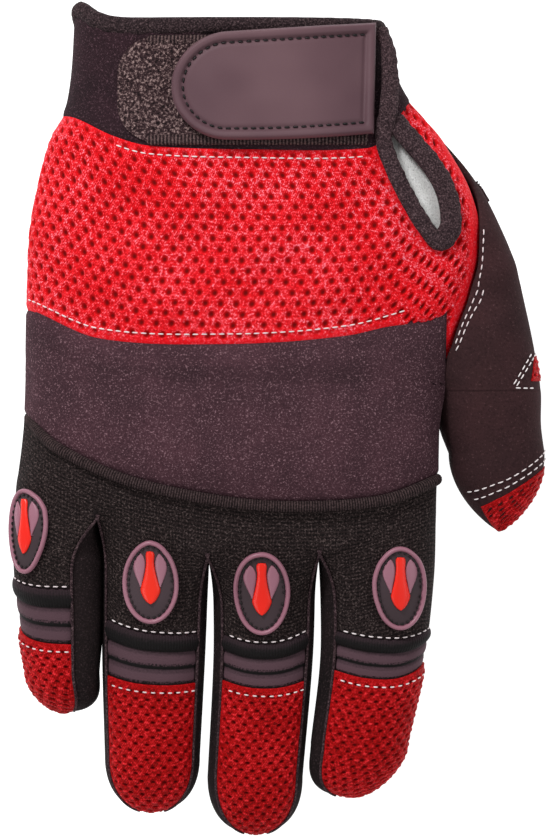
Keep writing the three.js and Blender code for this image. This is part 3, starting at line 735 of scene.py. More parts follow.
# %% Pleats
def pleat_finish(name, crown_highlight, base, valley_shade):
    """The second cloth length runs from 0 to 3 over the welt and the two pleats."""
    f = Finish(name, roughness=0.8, sheen=0.1, specular=0.25, sheen_tint=base)
    u, v = f.lengths()
    share = f.sum("FRACT", v)
    fine = f.noise(1.9, detail=3, roughness=0.7)
    ribs = f.sum("MULTIPLY", f.wave(u, 0.8), f.sum("LESS_THAN", v, 1.0))
    streaks = f.sum("MULTIPLY", f.wave(v, 0.21), 0.03)
    # The place across each fold, with noise: it picks the painted highlight or the painted shade.
    mottle_and_fold_light = f.sum("MULTIPLY_ADD", ribs, 0.035, f.sum("MULTIPLY_ADD", fine, 0.45, share))
    mottle_and_fold_light = f.sum("ADD", mottle_and_fold_light, streaks)
    body = f.ramp(mottle_and_fold_light, (0.22, base), (0.55, crown_highlight), (0.9, crown_highlight), (1.06, base), (1.2, valley_shade))
    # The welt darkens towards its foot: painted shadow under the welt.
    welt = f.ramp(mottle_and_fold_light, (0.3, base), (0.75, valley_shade), (1.0, valley_shade))
    f.set("Base Color", f.mixed(f.sum("LESS_THAN", v, 1.0), body, welt))
    f.bump(f.sum("MULTIPLY_ADD", ribs, 0.3, fine), 0.25, 0.8)
    return f.material


# Colours: painted highlight on the crowns, the cloth's own plum, painted shade in the valleys.
FLEX = pleat_finish("pleated_flex_cloth", srgb(86, 62, 70), srgb(50, 34, 40), srgb(12, 8, 9))

# %% [markdown]
# ### Knit, binding, piping and loops
#
# The knit over the knuckles has horizontal purl rows about a millimetre apart; painted shade darkens their
# valleys and painted highlights lighten their crowns. The binding is a folded tape of brushed knit with a
# strong salt-and-pepper look. The piping is a cord wrapped in the same cloth, with fine ribs across it. The
# loop patch is a tangle of pale loops over black.

# %% Knit
def knit_finish(name, base, valley_shade, speck):
    f = Finish(name, roughness=0.9, sheen=0.08, specular=0.15, sheen_tint=base)
    u, v = f.lengths()
    wander = f.sum("MULTIPLY", f.noise(0.5, detail=2), 0.6)
    rows = f.wave(f.sum("ADD", v, wander), 1.15)
    loops = f.wave(u, 0.9)
    fine = f.noise(1.8, detail=3, roughness=0.75)
    height = f.sum("MULTIPLY_ADD", loops, 0.09, f.sum("MULTIPLY_ADD", rows, 0.22, fine))
    # The row valleys are painted dark as shade, and the crowns and scattered dots pale as painted
    # highlights.
    body = f.ramp(height, (0.2, valley_shade), (0.5, base), (0.75, base), (0.95, speck))
    f.set("Base Color", f.mixed(f.dots(fine, 0.55, 0.68), body, speck))
    f.bump(height, 0.3, 0.9)
    return f.material


# Colours: the knit's own black, painted shade in the valleys, pale painted highlight.
KNIT = knit_finish("black_purl_knit", srgb(34, 25, 25), srgb(12, 8, 8), srgb(96, 82, 80))


# %% Binding, piping and loops
def fuzzy(name, base, dark, speck, ribs=0.0, grain=1.9):
    """A brushed tape. ribs is the spacing of threads across it, or 0 for none."""
    f = Finish(name, roughness=0.9, sheen=0.12, specular=0.15, sheen_tint=base)
    fluff = f.noise(grain, detail=3, roughness=0.75)
    if ribs:
        fluff = f.sum("MULTIPLY_ADD", f.wave(f.lengths()[1], ribs), 0.14, fluff)
    f.set("Base Color", f.ramp(fluff, (0.36, dark), (0.52, base), (0.68, speck)))
    f.bump(fluff, 0.5, 0.9)
    return f.material


CUFF_TAPE = fuzzy("dark_cuff_binding", srgb(48, 35, 38), srgb(20, 14, 16), srgb(100, 82, 84))
BINDING = fuzzy("brushed_binding", srgb(62, 45, 49), srgb(30, 21, 24), srgb(116, 94, 97))
PIPING = fuzzy("ribbed_piping", srgb(50, 37, 38), srgb(24, 17, 18), srgb(82, 66, 66), ribs=0.75)
LOOPS = fuzzy("loop_pile", srgb(62, 43, 46), srgb(20, 13, 15), srgb(170, 144, 140), grain=1.25)
SELVEDGE = fuzzy("loop_selvedge", srgb(66, 48, 50), srgb(28, 20, 22), srgb(110, 90, 88), ribs=1.0)
HOOKS = fuzzy("hook_tape", srgb(40, 32, 34), srgb(20, 16, 17), srgb(78, 66, 68), grain=1.0)


# %% [markdown]
# ### Rubber, badges and thread
#
# The strap tab is a smooth moulded rubber with a soft satin gloss, lighter where it turns up to the
# light. The badges are soft moulded rubber in dusty mauve and orange red. The seams are white
# polyester, thick enough to be modelled stitch by stitch.

# %% Rubber and thread
def rubber(name, base, mottle_and_fold_light, roughness=0.5, grain=1.4, specular=0.4):
    f = Finish(name, roughness=roughness, specular=specular)
    fine = f.noise(grain, detail=2, roughness=0.6)
    slow = f.noise(0.035, detail=2)
    # The second colour is a paler one on slow random patches.
    f.set("Base Color", f.mixed(f.dots(slow, 0.35, 0.7), base, mottle_and_fold_light))
    f.set("Roughness", f.sum("MULTIPLY_ADD", fine, 0.2, roughness - 0.1))
    f.bump(fine, 0.05, 0.5)
    return f.material


STRAP_RUBBER = rubber("strap_rubber", srgb(88, 62, 69), srgb(102, 75, 81), roughness=0.6,
                      specular=0.25)
MAUVE = rubber("mauve_badge_rubber", srgb(150, 98, 114), srgb(164, 112, 128), roughness=0.4)
FIELD = rubber("badge_field_rubber", srgb(58, 45, 49), srgb(72, 58, 63), roughness=0.6,
               specular=0.25)
INLAY = rubber("red_badge_rubber", srgb(240, 28, 12), srgb(250, 44, 22), roughness=0.35)
WHITE_THREAD = rubber("white_thread", srgb(226, 210, 212), srgb(245, 236, 236), roughness=0.6,
                      grain=3.0)
DARK_THREAD = rubber("dark_thread", srgb(14, 9, 10), srgb(28, 20, 22), roughness=0.6, grain=3.0)
print("finishes:", len(bpy.data.materials))


# %% [markdown]
# ## Stitching
#
# A lockstitch shows as a row of short beads that dip into the cloth at both ends. Each bead is a
# six-sided capsule laid along the seam on the skin. Making them as real beads, not as a painted
# dash, gives each its own highlight and shadow.

# %% Stitch rows
STITCH_SIDES = 6
RUN_STEP = 0.8
STITCH_SHAPE = [(-1.0, 0.15, -0.35), (-0.72, 0.85, 0.05), (0.0, 1.0, 0.3), (0.72, 0.85, 0.05),
                (1.0, 0.15, -0.35)]  # place along, share of the radius, share of the radius in height


def at_run(place, run, values):
    """The value, of three numbers, at a place along a run."""
    return np.array([np.interp(place, run, values[:, k]) for k in range(3)])


def stitching(name, runs, finish, length=1.7, gap=0.85, radius=0.21):
    """Beads of thread along runs of (points, outward directions), all in one piece."""
    points, faces = [], []
    for path, outward in runs:
        path, outward = np.asarray(path, float), np.asarray(outward, float)
        run = run_along(path)
        turn = np.arange(STITCH_SIDES) / STITCH_SIDES * 2 * math.pi
        for place in np.arange(length / 2, run[-1] - length / 2, length + gap):
            at = at_run(place, run, path)
            ahead = unit(at_run(place + 0.4, run, path) - at)
            beside = unit(np.cross(ahead, at_run(place, run, outward)))
            up = np.cross(beside, ahead)
            base = len(points)
            for along_it, wide, high in STITCH_SHAPE:
                middle = at + ahead * along_it * length / 2 + up * radius * (high + 0.35)
                for t in turn:
                    points.append(middle + radius * wide * (beside * math.cos(t) + up * math.sin(t)))
            for ring in range(len(STITCH_SHAPE) - 1):
                for k in range(STITCH_SIDES):
                    a = base + ring * STITCH_SIDES + k
                    b = base + ring * STITCH_SIDES + (k + 1) % STITCH_SIDES
                    faces.append((a, a + STITCH_SIDES, b + STITCH_SIDES, b))
            last = base + (len(STITCH_SHAPE) - 1) * STITCH_SIDES
            faces.append(tuple(range(base, base + STITCH_SIDES)))
            faces.append(tuple(range(last + STITCH_SIDES - 1, last - 1, -1)))
    print(name, len(points) // (len(STITCH_SHAPE) * STITCH_SIDES), "stitches")
    return mesh_piece(name, points, faces, finish)


def row_of(skin, row):
    """One row of a grid as a run for stitching."""
    return skin[row], outward_of(skin)[row]


def on_skin(skin_of, places, lift):
    """A run over a skin through places given as (x, y), on its upper side."""
    places = np.asarray(places, float)
    run = run_along(places)
    at = np.linspace(0, run[-1], max(int(run[-1] / RUN_STEP), 4))
    knots = np.column_stack([run, places])
    x, y = along(knots, at, 1), along(knots, at, 2)
    angle = angle_where(skin_of, x, y)
    p = skin_of(angle, y)
    outward = unit(np.cross(skin_of(angle + 0.5, y) - p, skin_of(angle, y - 0.2) - p))
    return p + outward * lift, outward


# %% [markdown]
# ## Cuff
#
# The cuff is a band of jersey round the wrist. Its mouth is higher on the little-finger side, and
# a brushed tape is folded over the edge all the way round. It could be one ring, but the real one
# is sewn from a back and a palm band with a seam on each side, and so is this.

# %% Cuff bands
CUFF_MOUTH_Y, CUFF_PEAK = 111.0, 5.3
CUFF_PEAK_ANGLE, CUFF_PEAK_WIDTH = 172.0, 22.0
CUFF_SEAM = [(-66, 86), (-58, 86), (-46, 80.3), (-36, 77.4), (-8, 76.2), (25, 76.6), (30.5, 80),
             (34, 86), (38.5, 91), (60, 93)]
FABRIC = 1.4  # thickness of one layer of cloth
CLOTH_STEP, MESH_STEP = 1.0, 0.46  # size of a grid cell: plain cloth, and cloth with holes
HAND_GIRTH = 58.0  # half the hand across, to turn an angle into a width


def cuff_mouth(angle):
    return CUFF_MOUTH_Y + CUFF_PEAK * np.exp(-((angle - CUFF_PEAK_ANGLE) / CUFF_PEAK_WIDTH) ** 2)


def seam_at(seam, angle, skin_of=hand_point):
    """The y at which a seam, given as (x, y) stations, crosses each angle of a skin."""
    y = np.full(np.shape(angle), float(np.mean([s[1] for s in seam])))
    for _ in range(30):
        y = 0.5 * y + 0.5 * along(seam, skin_of(angle, y)[..., 0])
    return y


def panel(angles, top, bottom, step, skin_of=hand_point):
    """A grid over a skin between two lines, each the y for each angle."""
    top, bottom = np.broadcast_arrays(top, bottom, angles)[:2]
    rows = int(np.max(top - bottom) / step) + 2
    y = mix(top[None, :], bottom[None, :], np.linspace(0, 1, rows)[:, None])
    return skin_of(np.broadcast_to(angles, y.shape), y)


def angles_for(low, high, step):
    """Angles close enough together for cells of about one step across."""
    return np.linspace(low, high, int(math.radians(high - low) * HAND_GIRTH / step))


back_angles = angles_for(SIDE_LOW, SIDE_FAR, CLOTH_STEP)
cuff_back = panel(back_angles, cuff_mouth(back_angles), seam_at(CUFF_SEAM, back_angles) - 1.2,
                  CLOTH_STEP)
cuff_piece = cloth("cuff_band_back", rolled(raised(cuff_back, 0.4), roll=0.6), FABRIC, JERSEY)
sew(cuff_piece, "cuff_jersey", "hand", "cuff_band_back", "strap_base")
palm_angles = angles_for(SIDE_FAR, 360 + SIDE_LOW, CLOTH_STEP)
cuff_palm = panel(palm_angles, cuff_mouth(palm_angles), np.full(palm_angles.shape, 77.0), CLOTH_STEP)
sew(cloth("cuff_band_palm", rolled(cuff_palm, roll=0.3), FABRIC, JERSEY), "cuff_jersey", "hand",
    "cuff_band_palm")
print("cuff, mm wide:", round(np.ptp(cuff_back[..., 0]), 1))

# %% Cuff binding
BINDING_HALF = 2.5
BINDING_THICK = 1.75
around = np.linspace(0, 360, 260, endpoint=False)
mouth_y = cuff_mouth(around) - 0.8
mouth = hand_point(around, mouth_y)
mouth_out = outward_of(np.stack([hand_point(around, mouth_y + 1), hand_point(around, mouth_y - 1)]))
pucker = 0.16 * np.sin(np.radians(around) * 41) + 0.14 * np.sin(np.radians(around) * 26 + 1)
mouth = mouth + mouth_out[0] * (0.25 - FABRIC / 2 + pucker)[:, None]
mouth[:, 2] = np.maximum(mouth[:, 2], BINDING_THICK)
binding = cord_along("cuff_binding", mouth, mouth_out[0], BINDING_HALF, BINDING_THICK, CUFF_TAPE,
                     closed=True)
sew(binding, "binding", "hand", "cuff_binding")

# %% [markdown]
# ## Plates on the back of the wrist
#
# The loop patch and the strap tab are flat pieces with rounded ends that lie on the curved wrist.
# A plate is first drawn flat as an (x, y) grid with a height for each point, which depends only on
# the distance from its edge. Then the grid is laid on the skin. So a moulded rim or a groove is
# one short profile.

# %% Plates
NEAR = 0.3  # a small move along a skin, to find which way it faces


def plate(left, right, low, high, round_left, round_right, step):
    """An (x, y) grid inside a rectangle with rounded ends, and each point's distance from its edge."""
    x = np.linspace(left, right, int((right - left) / step))
    if round_left:
        bend = np.linspace(0, math.pi / 2, int(round_left / step) + 2)
        x = np.concatenate([left + round_left * (1 - np.cos(bend)), x[x > left + round_left + step / 2]])
    inset = np.zeros(x.shape)
    for corner, radius, sign in ((left, round_left, 1), (right, round_right, -1)):
        if radius:
            reach = np.clip((corner - x) * sign + radius, 0, radius)
            inset = np.maximum(inset, radius - np.sqrt(radius ** 2 - reach ** 2))
    share = (1 - np.cos(np.linspace(0, math.pi, int((high - low) / step)))) / 2
    share = mix(share, np.linspace(0, 1, len(share)), 0.6)
    y = mix((low + inset)[None, :], (high - inset)[None, :], share[:, None])
    x = np.broadcast_to(x, y.shape)
    r = np.where(x < (left + right) / 2, max(round_left, 0.01), max(round_right, 0.01))
    qx = np.abs(x - (left + right) / 2) - ((right - left) / 2 - r)
    qy = np.abs(y - (low + high) / 2) - ((high - low) / 2 - r)
    inside = r - np.hypot(np.maximum(qx, 0), np.maximum(qy, 0)) - np.minimum(np.maximum(qx, qy), 0)
    return x, y, np.maximum(inside, 0)


def laid_on_back(x, y, height):
    """The plate's points on the back of the hand, at a height above its skin."""
    return raised(on_back(x, y), height)


def laid(skin_of, x, y, height):
    """Places on a skin given by x and y, at a height above it, and the directions out of it."""
    p = skin_of(x, y)
    outward = unit(np.cross(skin_of(x + NEAR, y) - p, skin_of(x, y + NEAR) - p))
    return p + outward * np.broadcast_to(height, x.shape)[..., None], outward


# %% Loop patch
LOOP_EDGES = dict(left=-44.4, right=25.5, low=77.4, high=107.2)
LOOP_SELVEDGE = 3.6
SELVEDGE_RIB = 1.0
x, y, inside = plate(**LOOP_EDGES, round_left=10.5, round_right=0, step=0.55)
tangle = 0.22 * np.sin(x * 3.1 + np.sin(y * 1.7) * 1.3) * np.sin(y * 2.9 + np.sin(x * 1.3) * 1.5)
on_loops = smooth(inside, 0.2, 1.2) * smooth(y, LOOP_EDGES["low"] + LOOP_SELVEDGE - 0.5,
                                            LOOP_EDGES["low"] + LOOP_SELVEDGE + 0.5)
height = 1.0 + 0.35 * on_loops + tangle * on_loops
loops = cloth("loop_patch", laid_on_back(x, y, height), 0.9, LOOPS, lengths=(x, y))
sew(loops, "loop_pile", "hand", "loop_patch")
for edge, low, high in (("low", LOOP_EDGES["low"] - 0.9, LOOP_EDGES["low"] + LOOP_SELVEDGE - 1.4),
                        ("high", LOOP_EDGES["high"] - 2.4, LOOP_EDGES["high"] + 0.4)):
    x, y, inside = plate(-36.5, 25.5, low, high, 1.4, 0, 0.5)
    ribs = 0.12 * np.cos(x * 2 * math.pi / SELVEDGE_RIB)
    band = cloth("loop_patch_selvedge_" + edge,
                 laid_on_back(x, y, 1.45 - 0.6 * (1 - smooth(inside, 0, 0.7)) + ribs), 0.9,
                 SELVEDGE, lengths=(y, x))
    sew(band, "loop_pile", "hand")

# %% [markdown]
# ## Strap
#
# The closing strap is a moulded rubber tab. Its edge is a round rolled rim, inside the rim runs a
# groove with a row of dark stitches, and the face is gently crowned. Underneath is the hook tape.
# A binding holds the tab at its right end, and both ride on the strap's body.

# %% Strap tab
STRAP_EDGES = dict(left=-28.9, right=27.0, low=78.7, high=109.2)
STRAP_RISE = (0.024, 0.062)  # slopes of its lower and upper edge, which rise to the right
STRAP_SAG = 1.2
STRAP_FLAT_FROM = 19.0  # beyond this x the stiff strap stays straight and does not follow the wrist
STRAP_ROUND = 15.0
STRAP_LIFT = 4.9
STRAP_SETTLE = 1.0  # how much lower its sewn end lies
RIM_WIDTH, RIM_HEIGHT = 2.5, 0.75
GROOVE_AT, GROOVE_HALF, GROOVE_DEPTH = 3.15, 0.62, 0.5


def strap_skin(x, y):
    """The skin under the strap: not quite level, with a lower edge that sags, straight at its end."""
    up = (y - STRAP_EDGES["low"]) / (STRAP_EDGES["high"] - STRAP_EDGES["low"])
    y = y + x * mix(*STRAP_RISE, up) - STRAP_SAG * (1 - up) * (1 - (x / STRAP_EDGES["left"]) ** 2)
    bent = np.minimum(x, STRAP_FLAT_FROM)
    p = hand_point(angle_at(bent, y), y)
    slope = (p - hand_point(angle_at(bent - 2, y), y))[..., 2] / 2
    p[..., 0] += x - bent
    p[..., 2] += (x - bent) * slope
    return p


def strap_laid(x, y, height):
    """Points this high in the strap. Its sewn end has settled a little."""
    settled = height - STRAP_SETTLE * smooth(x, 10, STRAP_EDGES["right"])
    return laid(strap_skin, x, y, settled)[0]


def strap_height(inside):
    rim = RIM_HEIGHT * np.sqrt(np.maximum(1 - ((inside - RIM_WIDTH / 2) / (RIM_WIDTH / 2 + 0.1)) ** 2, 0))
    rim = rim - 0.9 * (1 - smooth(inside, 0, 0.8))
    groove = GROOVE_DEPTH * np.exp(-((inside - GROOVE_AT) / GROOVE_HALF) ** 2)
    return STRAP_LIFT + rim - groove + 0.45 * smooth(inside, 3, 12)


x, y, inside = plate(**STRAP_EDGES, round_left=STRAP_ROUND, round_right=0, step=0.42)
side_only = np.minimum(inside, np.maximum(np.minimum(y - STRAP_EDGES["low"], STRAP_EDGES["high"] - y), 0))
to_right = STRAP_EDGES["right"] - x
inside = np.where(to_right < STRAP_ROUND, side_only, inside)
tab = cloth("strap_tab", strap_laid(x, y, strap_height(inside)), 1.9, STRAP_RUBBER, lengths=(x, y))
sew(tab, "strap_rubber", "strap", "strap_tab")
x, y, inside = plate(-24.5, 20, 82.8, 104.6, 8, 2, 0.8)
hook = cloth("strap_hook", strap_laid(x, y, STRAP_LIFT - 1.95), 1.0, HOOKS, lengths=(x, y))
sew(hook, "hook_tape", "strap", "strap_hook")


# %% Strap stitches
def rounded_run(left, right, low, high, radius):
    """(x, y) places from the right end, round the left end and back to the right."""
    bend = np.radians(np.linspace(90, 270, 25))
    ends = [(left + radius + radius * math.cos(t),
             (low + high) / 2 + ((high - low) / 2) * math.sin(t)) for t in bend]
    return [(right, high), (mix(left, right, 0.6), high)] + ends + [(mix(left, right, 0.6), low),
                                                                  (right, low)]


def smooth_run(places, step):
    """Places every step along a smooth curve through chosen (x, y) stations."""
    places = np.asarray(places, float)
    run = run_along(places)
    knots = np.column_stack([run, places])
    at = np.arange(0, run[-1], step)
    return np.column_stack([along(knots, at, 1), along(knots, at, 2)])


groove = rounded_run(STRAP_EDGES["left"] + GROOVE_AT, STRAP_EDGES["right"] - 1,
                     STRAP_EDGES["low"] + GROOVE_AT, STRAP_EDGES["high"] - GROOVE_AT,
                     STRAP_ROUND - GROOVE_AT)
run = smooth_run(groove, 0.8)
path = strap_laid(run[:, 0], run[:, 1], STRAP_LIFT - 0.32)
outward = np.broadcast_to((0.0, 0.0, 1.0), path.shape)
strap_stitches = stitching("strap_stitches", [(path, outward)], DARK_THREAD, length=1.5, gap=0.85,
                           radius=0.3)
sew(strap_stitches, "strap_rubber", "strap")

# %% [markdown]
# ## Wrist opening and its binding
#
# Beside the strap the glove is slit so that it can stretch over the hand. The same brushed tape
# closes the strap's end, runs down the slit, round its tip and up again. A pale liner shows
# through the slit.

# %% Slit binding
SLIT_LINE = [(27.6, 109.4), (28.6, 104), (30.0, 94), (30.3, 86), (29.9, 77.5), (33.1, 68.6),
             (36.9, 61), (41, 54.2), (45.2, 49.6), (48.3, 53), (48.2, 59.6), (46.3, 65.6), (42.6, 71.6),
             (38.0, 77), (34.2, 81.4), (32, 84.5)]
SLIT_DIVIDE = [(112, 60), (88, 60), (84, 33), (77, 33.9), (62, 41.2), (50, 45.4)]  # y, x between its arms
STRAP_BINDING_HALF, SLIT_LEFT_HALF, SLIT_RIGHT_HALF = 2.8, 2.45, 3.35
SLIT_LIFT, STRAP_BINDING_LIFT = 1.15, 2.6  # the tape lies higher where it closes the strap
SLIT_STEP = 0.9
SLIT_HIGH = 1.45  # half the thickness of the folded tape
STRAP_END_DROP = 0.55  # how much of that lift is gone where the tape meets the cuff's mouth

slit_run = smooth_run(SLIT_LINE, SLIT_STEP)
run = run_along(slit_run)
at = np.arange(0, run[-1], SLIT_STEP)
path, outward = laid(on_back, np.interp(at, run, slit_run[:, 0]), np.interp(at, run, slit_run[:, 1]), 0)
at_strap = smooth(path[:, 1], 79, 86) * (np.arange(len(path)) < len(path) / 2)
wobble = 0.12 * np.sin(np.arange(len(path)) * 1.9) + 0.1 * np.sin(np.arange(len(path)) * 0.83)
at_strap = at_strap * (1 - STRAP_END_DROP * smooth(path[:, 1], 103, 109))
path = path + outward * (SLIT_LIFT + STRAP_BINDING_LIFT * at_strap + wobble)[:, None]
run_x, run_y = slit_run[:len(path)].T
half = mix(SLIT_LEFT_HALF, STRAP_BINDING_HALF, smooth(run_y, 80, 88))
past_tip = smooth(run_x - along(SLIT_DIVIDE, run_y), -2, 2)
half = mix(half, SLIT_RIGHT_HALF, past_tip) + wobble * 0.6
slit = cord_along("slit_binding", path, outward, half, SLIT_HIGH, BINDING, sides=16)
sew(slit, "binding", "hand", "slit_binding", "strap_binding")

# %% Liner behind the slit
LINER_LEFT, LINER_DEPTH = 24, 2.4
x, y, inside = plate(LINER_LEFT, 50, 49, 88, 6, 6, 2.0)
x = mix(LINER_LEFT, along(HAND_RIGHT, y) - 8, (x - LINER_LEFT) / 25)  # stops short of the hand's side
liner = cloth("wrist_liner", laid_on_back(x, y, -LINER_DEPTH), 0.6, LINING, lengths=(x, y))
sew(liner, "cuff_jersey", "hand")


# %% [markdown]
# ## Back mesh
#
# The red spacer mesh covers the back of the hand from the cuff to the padded panel and wraps both
# sides. It is one fine grid: each hole is a dent of just under a millimetre. Where the slit is,
# the grid's cells are left out, and the binding covers their edge. At the thumb it runs on
# under the padded panel's corner, so no gap opens there.

# %% Back mesh panel
PAD_TOP_SEAM = [(-76, 32), (-70, 30.6), (-50, 22.3), (-13, 20.6), (20, 23), (48, 29.5), (49.2, 24),
                (51, 12), (64, 11)]
MESH_LOW_SEAM = PAD_TOP_SEAM[:5] + [(34, 25.5), (40, 17), (43, 9), (64, 8)]
NET_DEPTH = 0.75
FLOAT_RISE = 0.25
UNDER_PAD = 1.5  # how much lower the mesh lies under the padded panel's corner


def inside_loop(x, y, loop):
    """Whether each point lies inside a closed line of (x, y) places."""
    inside = np.zeros(x.shape, bool)
    for (x0, y0), (x1, y1) in zip(loop, np.roll(loop, -1, 0)):
        crosses = (y0 > y) != (y1 > y)
        inside ^= crosses & (x < (x1 - x0) * (y - y0) / (y1 - y0 if y1 != y0 else 1e-9) + x0)
    return inside


def netted(skin, net, depth, hem_width=2.4, free=1.0):
    """The skin with a dent at each hole of the net, and what cloth() needs to colour it."""
    u, v = measure(skin)
    free = free * smooth(to_border(skin), hem_width * 0.4, hem_width)
    relief = -depth * lattice_share(u, v, net, net["hole"], HOLES)
    if "float" in net:
        relief = relief + FLOAT_RISE * lattice_share(u, v, net, net["float"], FLOATS)
    sunk = raised(skin, relief * free)
    return sunk, dict(lengths=(u, v), hem=1 - free)


net_angles = angles_for(SIDE_LOW, SIDE_FAR, MESH_STEP)
back = panel(net_angles, seam_at(CUFF_SEAM, net_angles) + 0.8, seam_at(MESH_LOW_SEAM, net_angles) - 0.8,
             MESH_STEP)
slit_and_thumb = np.concatenate([
    slit_run[slit_run[:, 1] < 92],
    np.column_stack([along(THUMB_SEAM, THUMB_Y), THUMB_Y])[(THUMB_Y > 14) & (THUMB_Y < 90)]])
near_edge = np.full(back.shape[:2], 99.0)
for place in slit_and_thumb:
    near_edge = np.minimum(near_edge, np.hypot(back[..., 0] - place[0], back[..., 1] - place[1]))
x, y, height = np.moveaxis(back, -1, 0)
border = to_border(back)
slow_rise = 0.5 * np.sin(x * 0.11 + y * 0.16) + 0.35 * np.sin(x * 0.19 - y * 0.23 + 1)
swell = slow_rise * smooth(border, 2, 14) + 0.9 * smooth(border, 0, 14)
swell = swell * smooth(near_edge, 2, 9) - 0.5 * (1 - smooth(np.minimum(near_edge, border), 0, 2.2))
covered = smooth(along(PAD_TOP_SEAM[:6], x) - y, -0.5, 2) * smooth(-x, -50, -47)
swell = swell - UNDER_PAD * covered * (height > 20)
back, net_cloth = netted(raised(back, swell), BACK_NET, NET_DEPTH, 4.0, smooth(near_edge, 2.3, 3.6))
centre = (back[:-1, :-1] + back[1:, 1:]) / 2
slit_loop = slit_run[slit_run[:, 1] < 88]
kept = ~inside_loop(centre[..., 0], centre[..., 1], slit_loop)
kept |= centre[..., 2] < 12
back_mesh = cloth("back_mesh_panel", back, FABRIC, BACK_RED, keep=kept, **net_cloth)
sew(back_mesh, "red_mesh", THUMB_ROOT, "back_mesh_panel", "side_mesh_panel")
print("mesh panel cells:", int(kept.sum()))

# %% Back mesh stitches
def seam_run(seam, left, right, above, lift):
    """A run on the hand beside a seam of (x, y) stations, this far above it."""
    x = np.arange(left, right, RUN_STEP)
    return on_skin(hand_point, np.column_stack([x, along(seam, x) + above]), lift)


mesh_runs = [seam_run(CUFF_SEAM, -45, 25, -3.2, 0.35), seam_run(PAD_TOP_SEAM, -70, 46.5, 2.9, 0.3)]
mesh_stitches = stitching("back_mesh_stitches", mesh_runs, WHITE_THREAD, length=1.7, gap=0.75)
sew(mesh_stitches, "red_mesh", THUMB_ROOT)

# %% [markdown]
# ## Padded panel over the knuckles
#
# A foam pad under plum cloth lies across the back of the hand. Its bottom edge is a piped seam
# that sags like a smile. The panel is crowned: the seams hold its edge down and the foam lifts
# the rest. Slow, shallow waves keep it from looking moulded.

# %% Knuckle pad
PIPING_SEAM = [(-78, 4.5), (-76, 3.6), (-70.8, -0.6), (-61.4, -8.5), (-41.6, -17.4), (-16, -23),
               (4, -24.6), (29.4, -23), (46, -17), (50, -15)]
PAD_RIGHT = 48.2
PAD_BASE, PAD_PUFF, PAD_ROLL, PAD_THICK = 0.3, 1.5, 0.8, 2.2
PAD_TOP_LINE = PAD_TOP_SEAM[:6] + [(60, 31)]


def pad_angle(share, y):
    """The angle at a share of the way across the pad. Its right edge is straight beside the thumb."""
    share, y = np.broadcast_arrays(share, y)
    right = mix(angle_at(np.full(y.shape, PAD_RIGHT), y), -12.0, smooth(-y, -16, -8))
    return mix(right, SIDE_FAR, share)


def pad_point(share, y):
    return hand_point(pad_angle(share, y), y)


pad_share = np.linspace(0, 1, 160)
pad_skin = panel(pad_share, seam_at(PAD_TOP_LINE, pad_share, pad_point) + 0.4,
                 seam_at(PIPING_SEAM, pad_share, pad_point) + 0.4, 1.0, pad_point)
pad_angles = pad_angle(pad_share, pad_skin[..., 1])
waves = (0.30 * np.sin(pad_skin[..., 0] * 0.10 + pad_skin[..., 1] * 0.21)
         + 0.16 * np.sin(pad_skin[..., 0] * 0.27 - pad_skin[..., 1] * 0.12 + 2))
upward = np.clip(np.sin(np.radians(pad_angles)), 0, 1)
border = to_border(pad_skin)
pad_lift = PAD_BASE + (PAD_PUFF * smooth(border, 0, 11) + waves * smooth(border, 1, 10)) * upward
pad_skin = raised(pad_skin, pad_lift * smooth(np.sin(np.radians(pad_angles)), -0.25, 0.3)
                  - PAD_ROLL * (1 - smooth(border, 0, 2.2)))
pad = cloth("knuckle_pad", pad_skin, PAD_THICK, PLUM)
sew(pad, "plum_fabric", KNUCKLES, "knuckle_pad", "knuckle_foam")
print("pad, mm:", np.round(np.ptp(pad_skin.reshape(-1, 3), axis=0), 1))

# %% Piping
PIPING_RADIUS = 1.55
pipe_angles = np.linspace(4, SIDE_FAR + 4, 510)
pipe_y = seam_at(PIPING_SEAM, pipe_angles)
pipe = hand_point(pipe_angles, pipe_y)
pipe_out = outward_of(np.stack([hand_point(pipe_angles, pipe_y + 0.5),
                                hand_point(pipe_angles, pipe_y - 0.5)]))[0]
ribs = 0.07 * np.sin(np.arange(len(pipe)) * 2.1)
pipe_top = smooth(np.sin(np.radians(pipe_angles)), -0.05, 0.55)
pipe_end = smooth(pipe_angles, 4, 20)
pipe_lift = (-1.15 + 1.85 * pipe_top - 1.3 * (1 - pipe_end))[:, None]
pipe_radius = (PIPING_RADIUS + ribs) * mix(0.5, 1, pipe_end)
piping = cord_along("knuckle_piping", pipe + pipe_out * pipe_lift, pipe_out, pipe_radius,
                    pipe_radius * mix(0.75, 1, pipe_top), PIPING)
sew(piping, "piping", KNUCKLES, "knuckle_piping")


# %% [markdown]
# ## Fingers
#
# Each finger is sewn from a back, side strips called fourchettes, and a palm. The back is three
# pieces in a row: knit down to the badge, a ribbed welt with two pleats that let the finger bend, and
# a cap of coarse red mesh. A thin overlocked seam joins the back to each side strip. One loop for
# each kind of piece makes them all from the finger's own lines.

# %% Finger lines
FINGER_LINES = {  # y at the left edge, in the middle and at the right edge
    "little": dict(welt=(-43.5, -47.0, -48.0), cap=(-58.8, -62.6, -64.0)),
    "ring": dict(welt=(-56.3, -60.6, -60.6), cap=(-72.6, -75.4, -74.8)),
    "middle": dict(welt=(-60.6, -63.7, -59.8), cap=(-73.8, -76.5, -74.2)),
    "index": dict(welt=(-59.6, -62.5, -59.0), cap=(-70.8, -73.9, -69.4)),
}
FINGER_STEP = 0.8
FOURCHETTE_TOP = 1.5


def line_at(line, angle):
    """The y of a finger's line at each local angle."""
    left, middle, right = line
    across = np.cos(np.radians(angle))
    return middle + (right - left) / 2 * across + ((right + left) / 2 - middle) * across ** 2


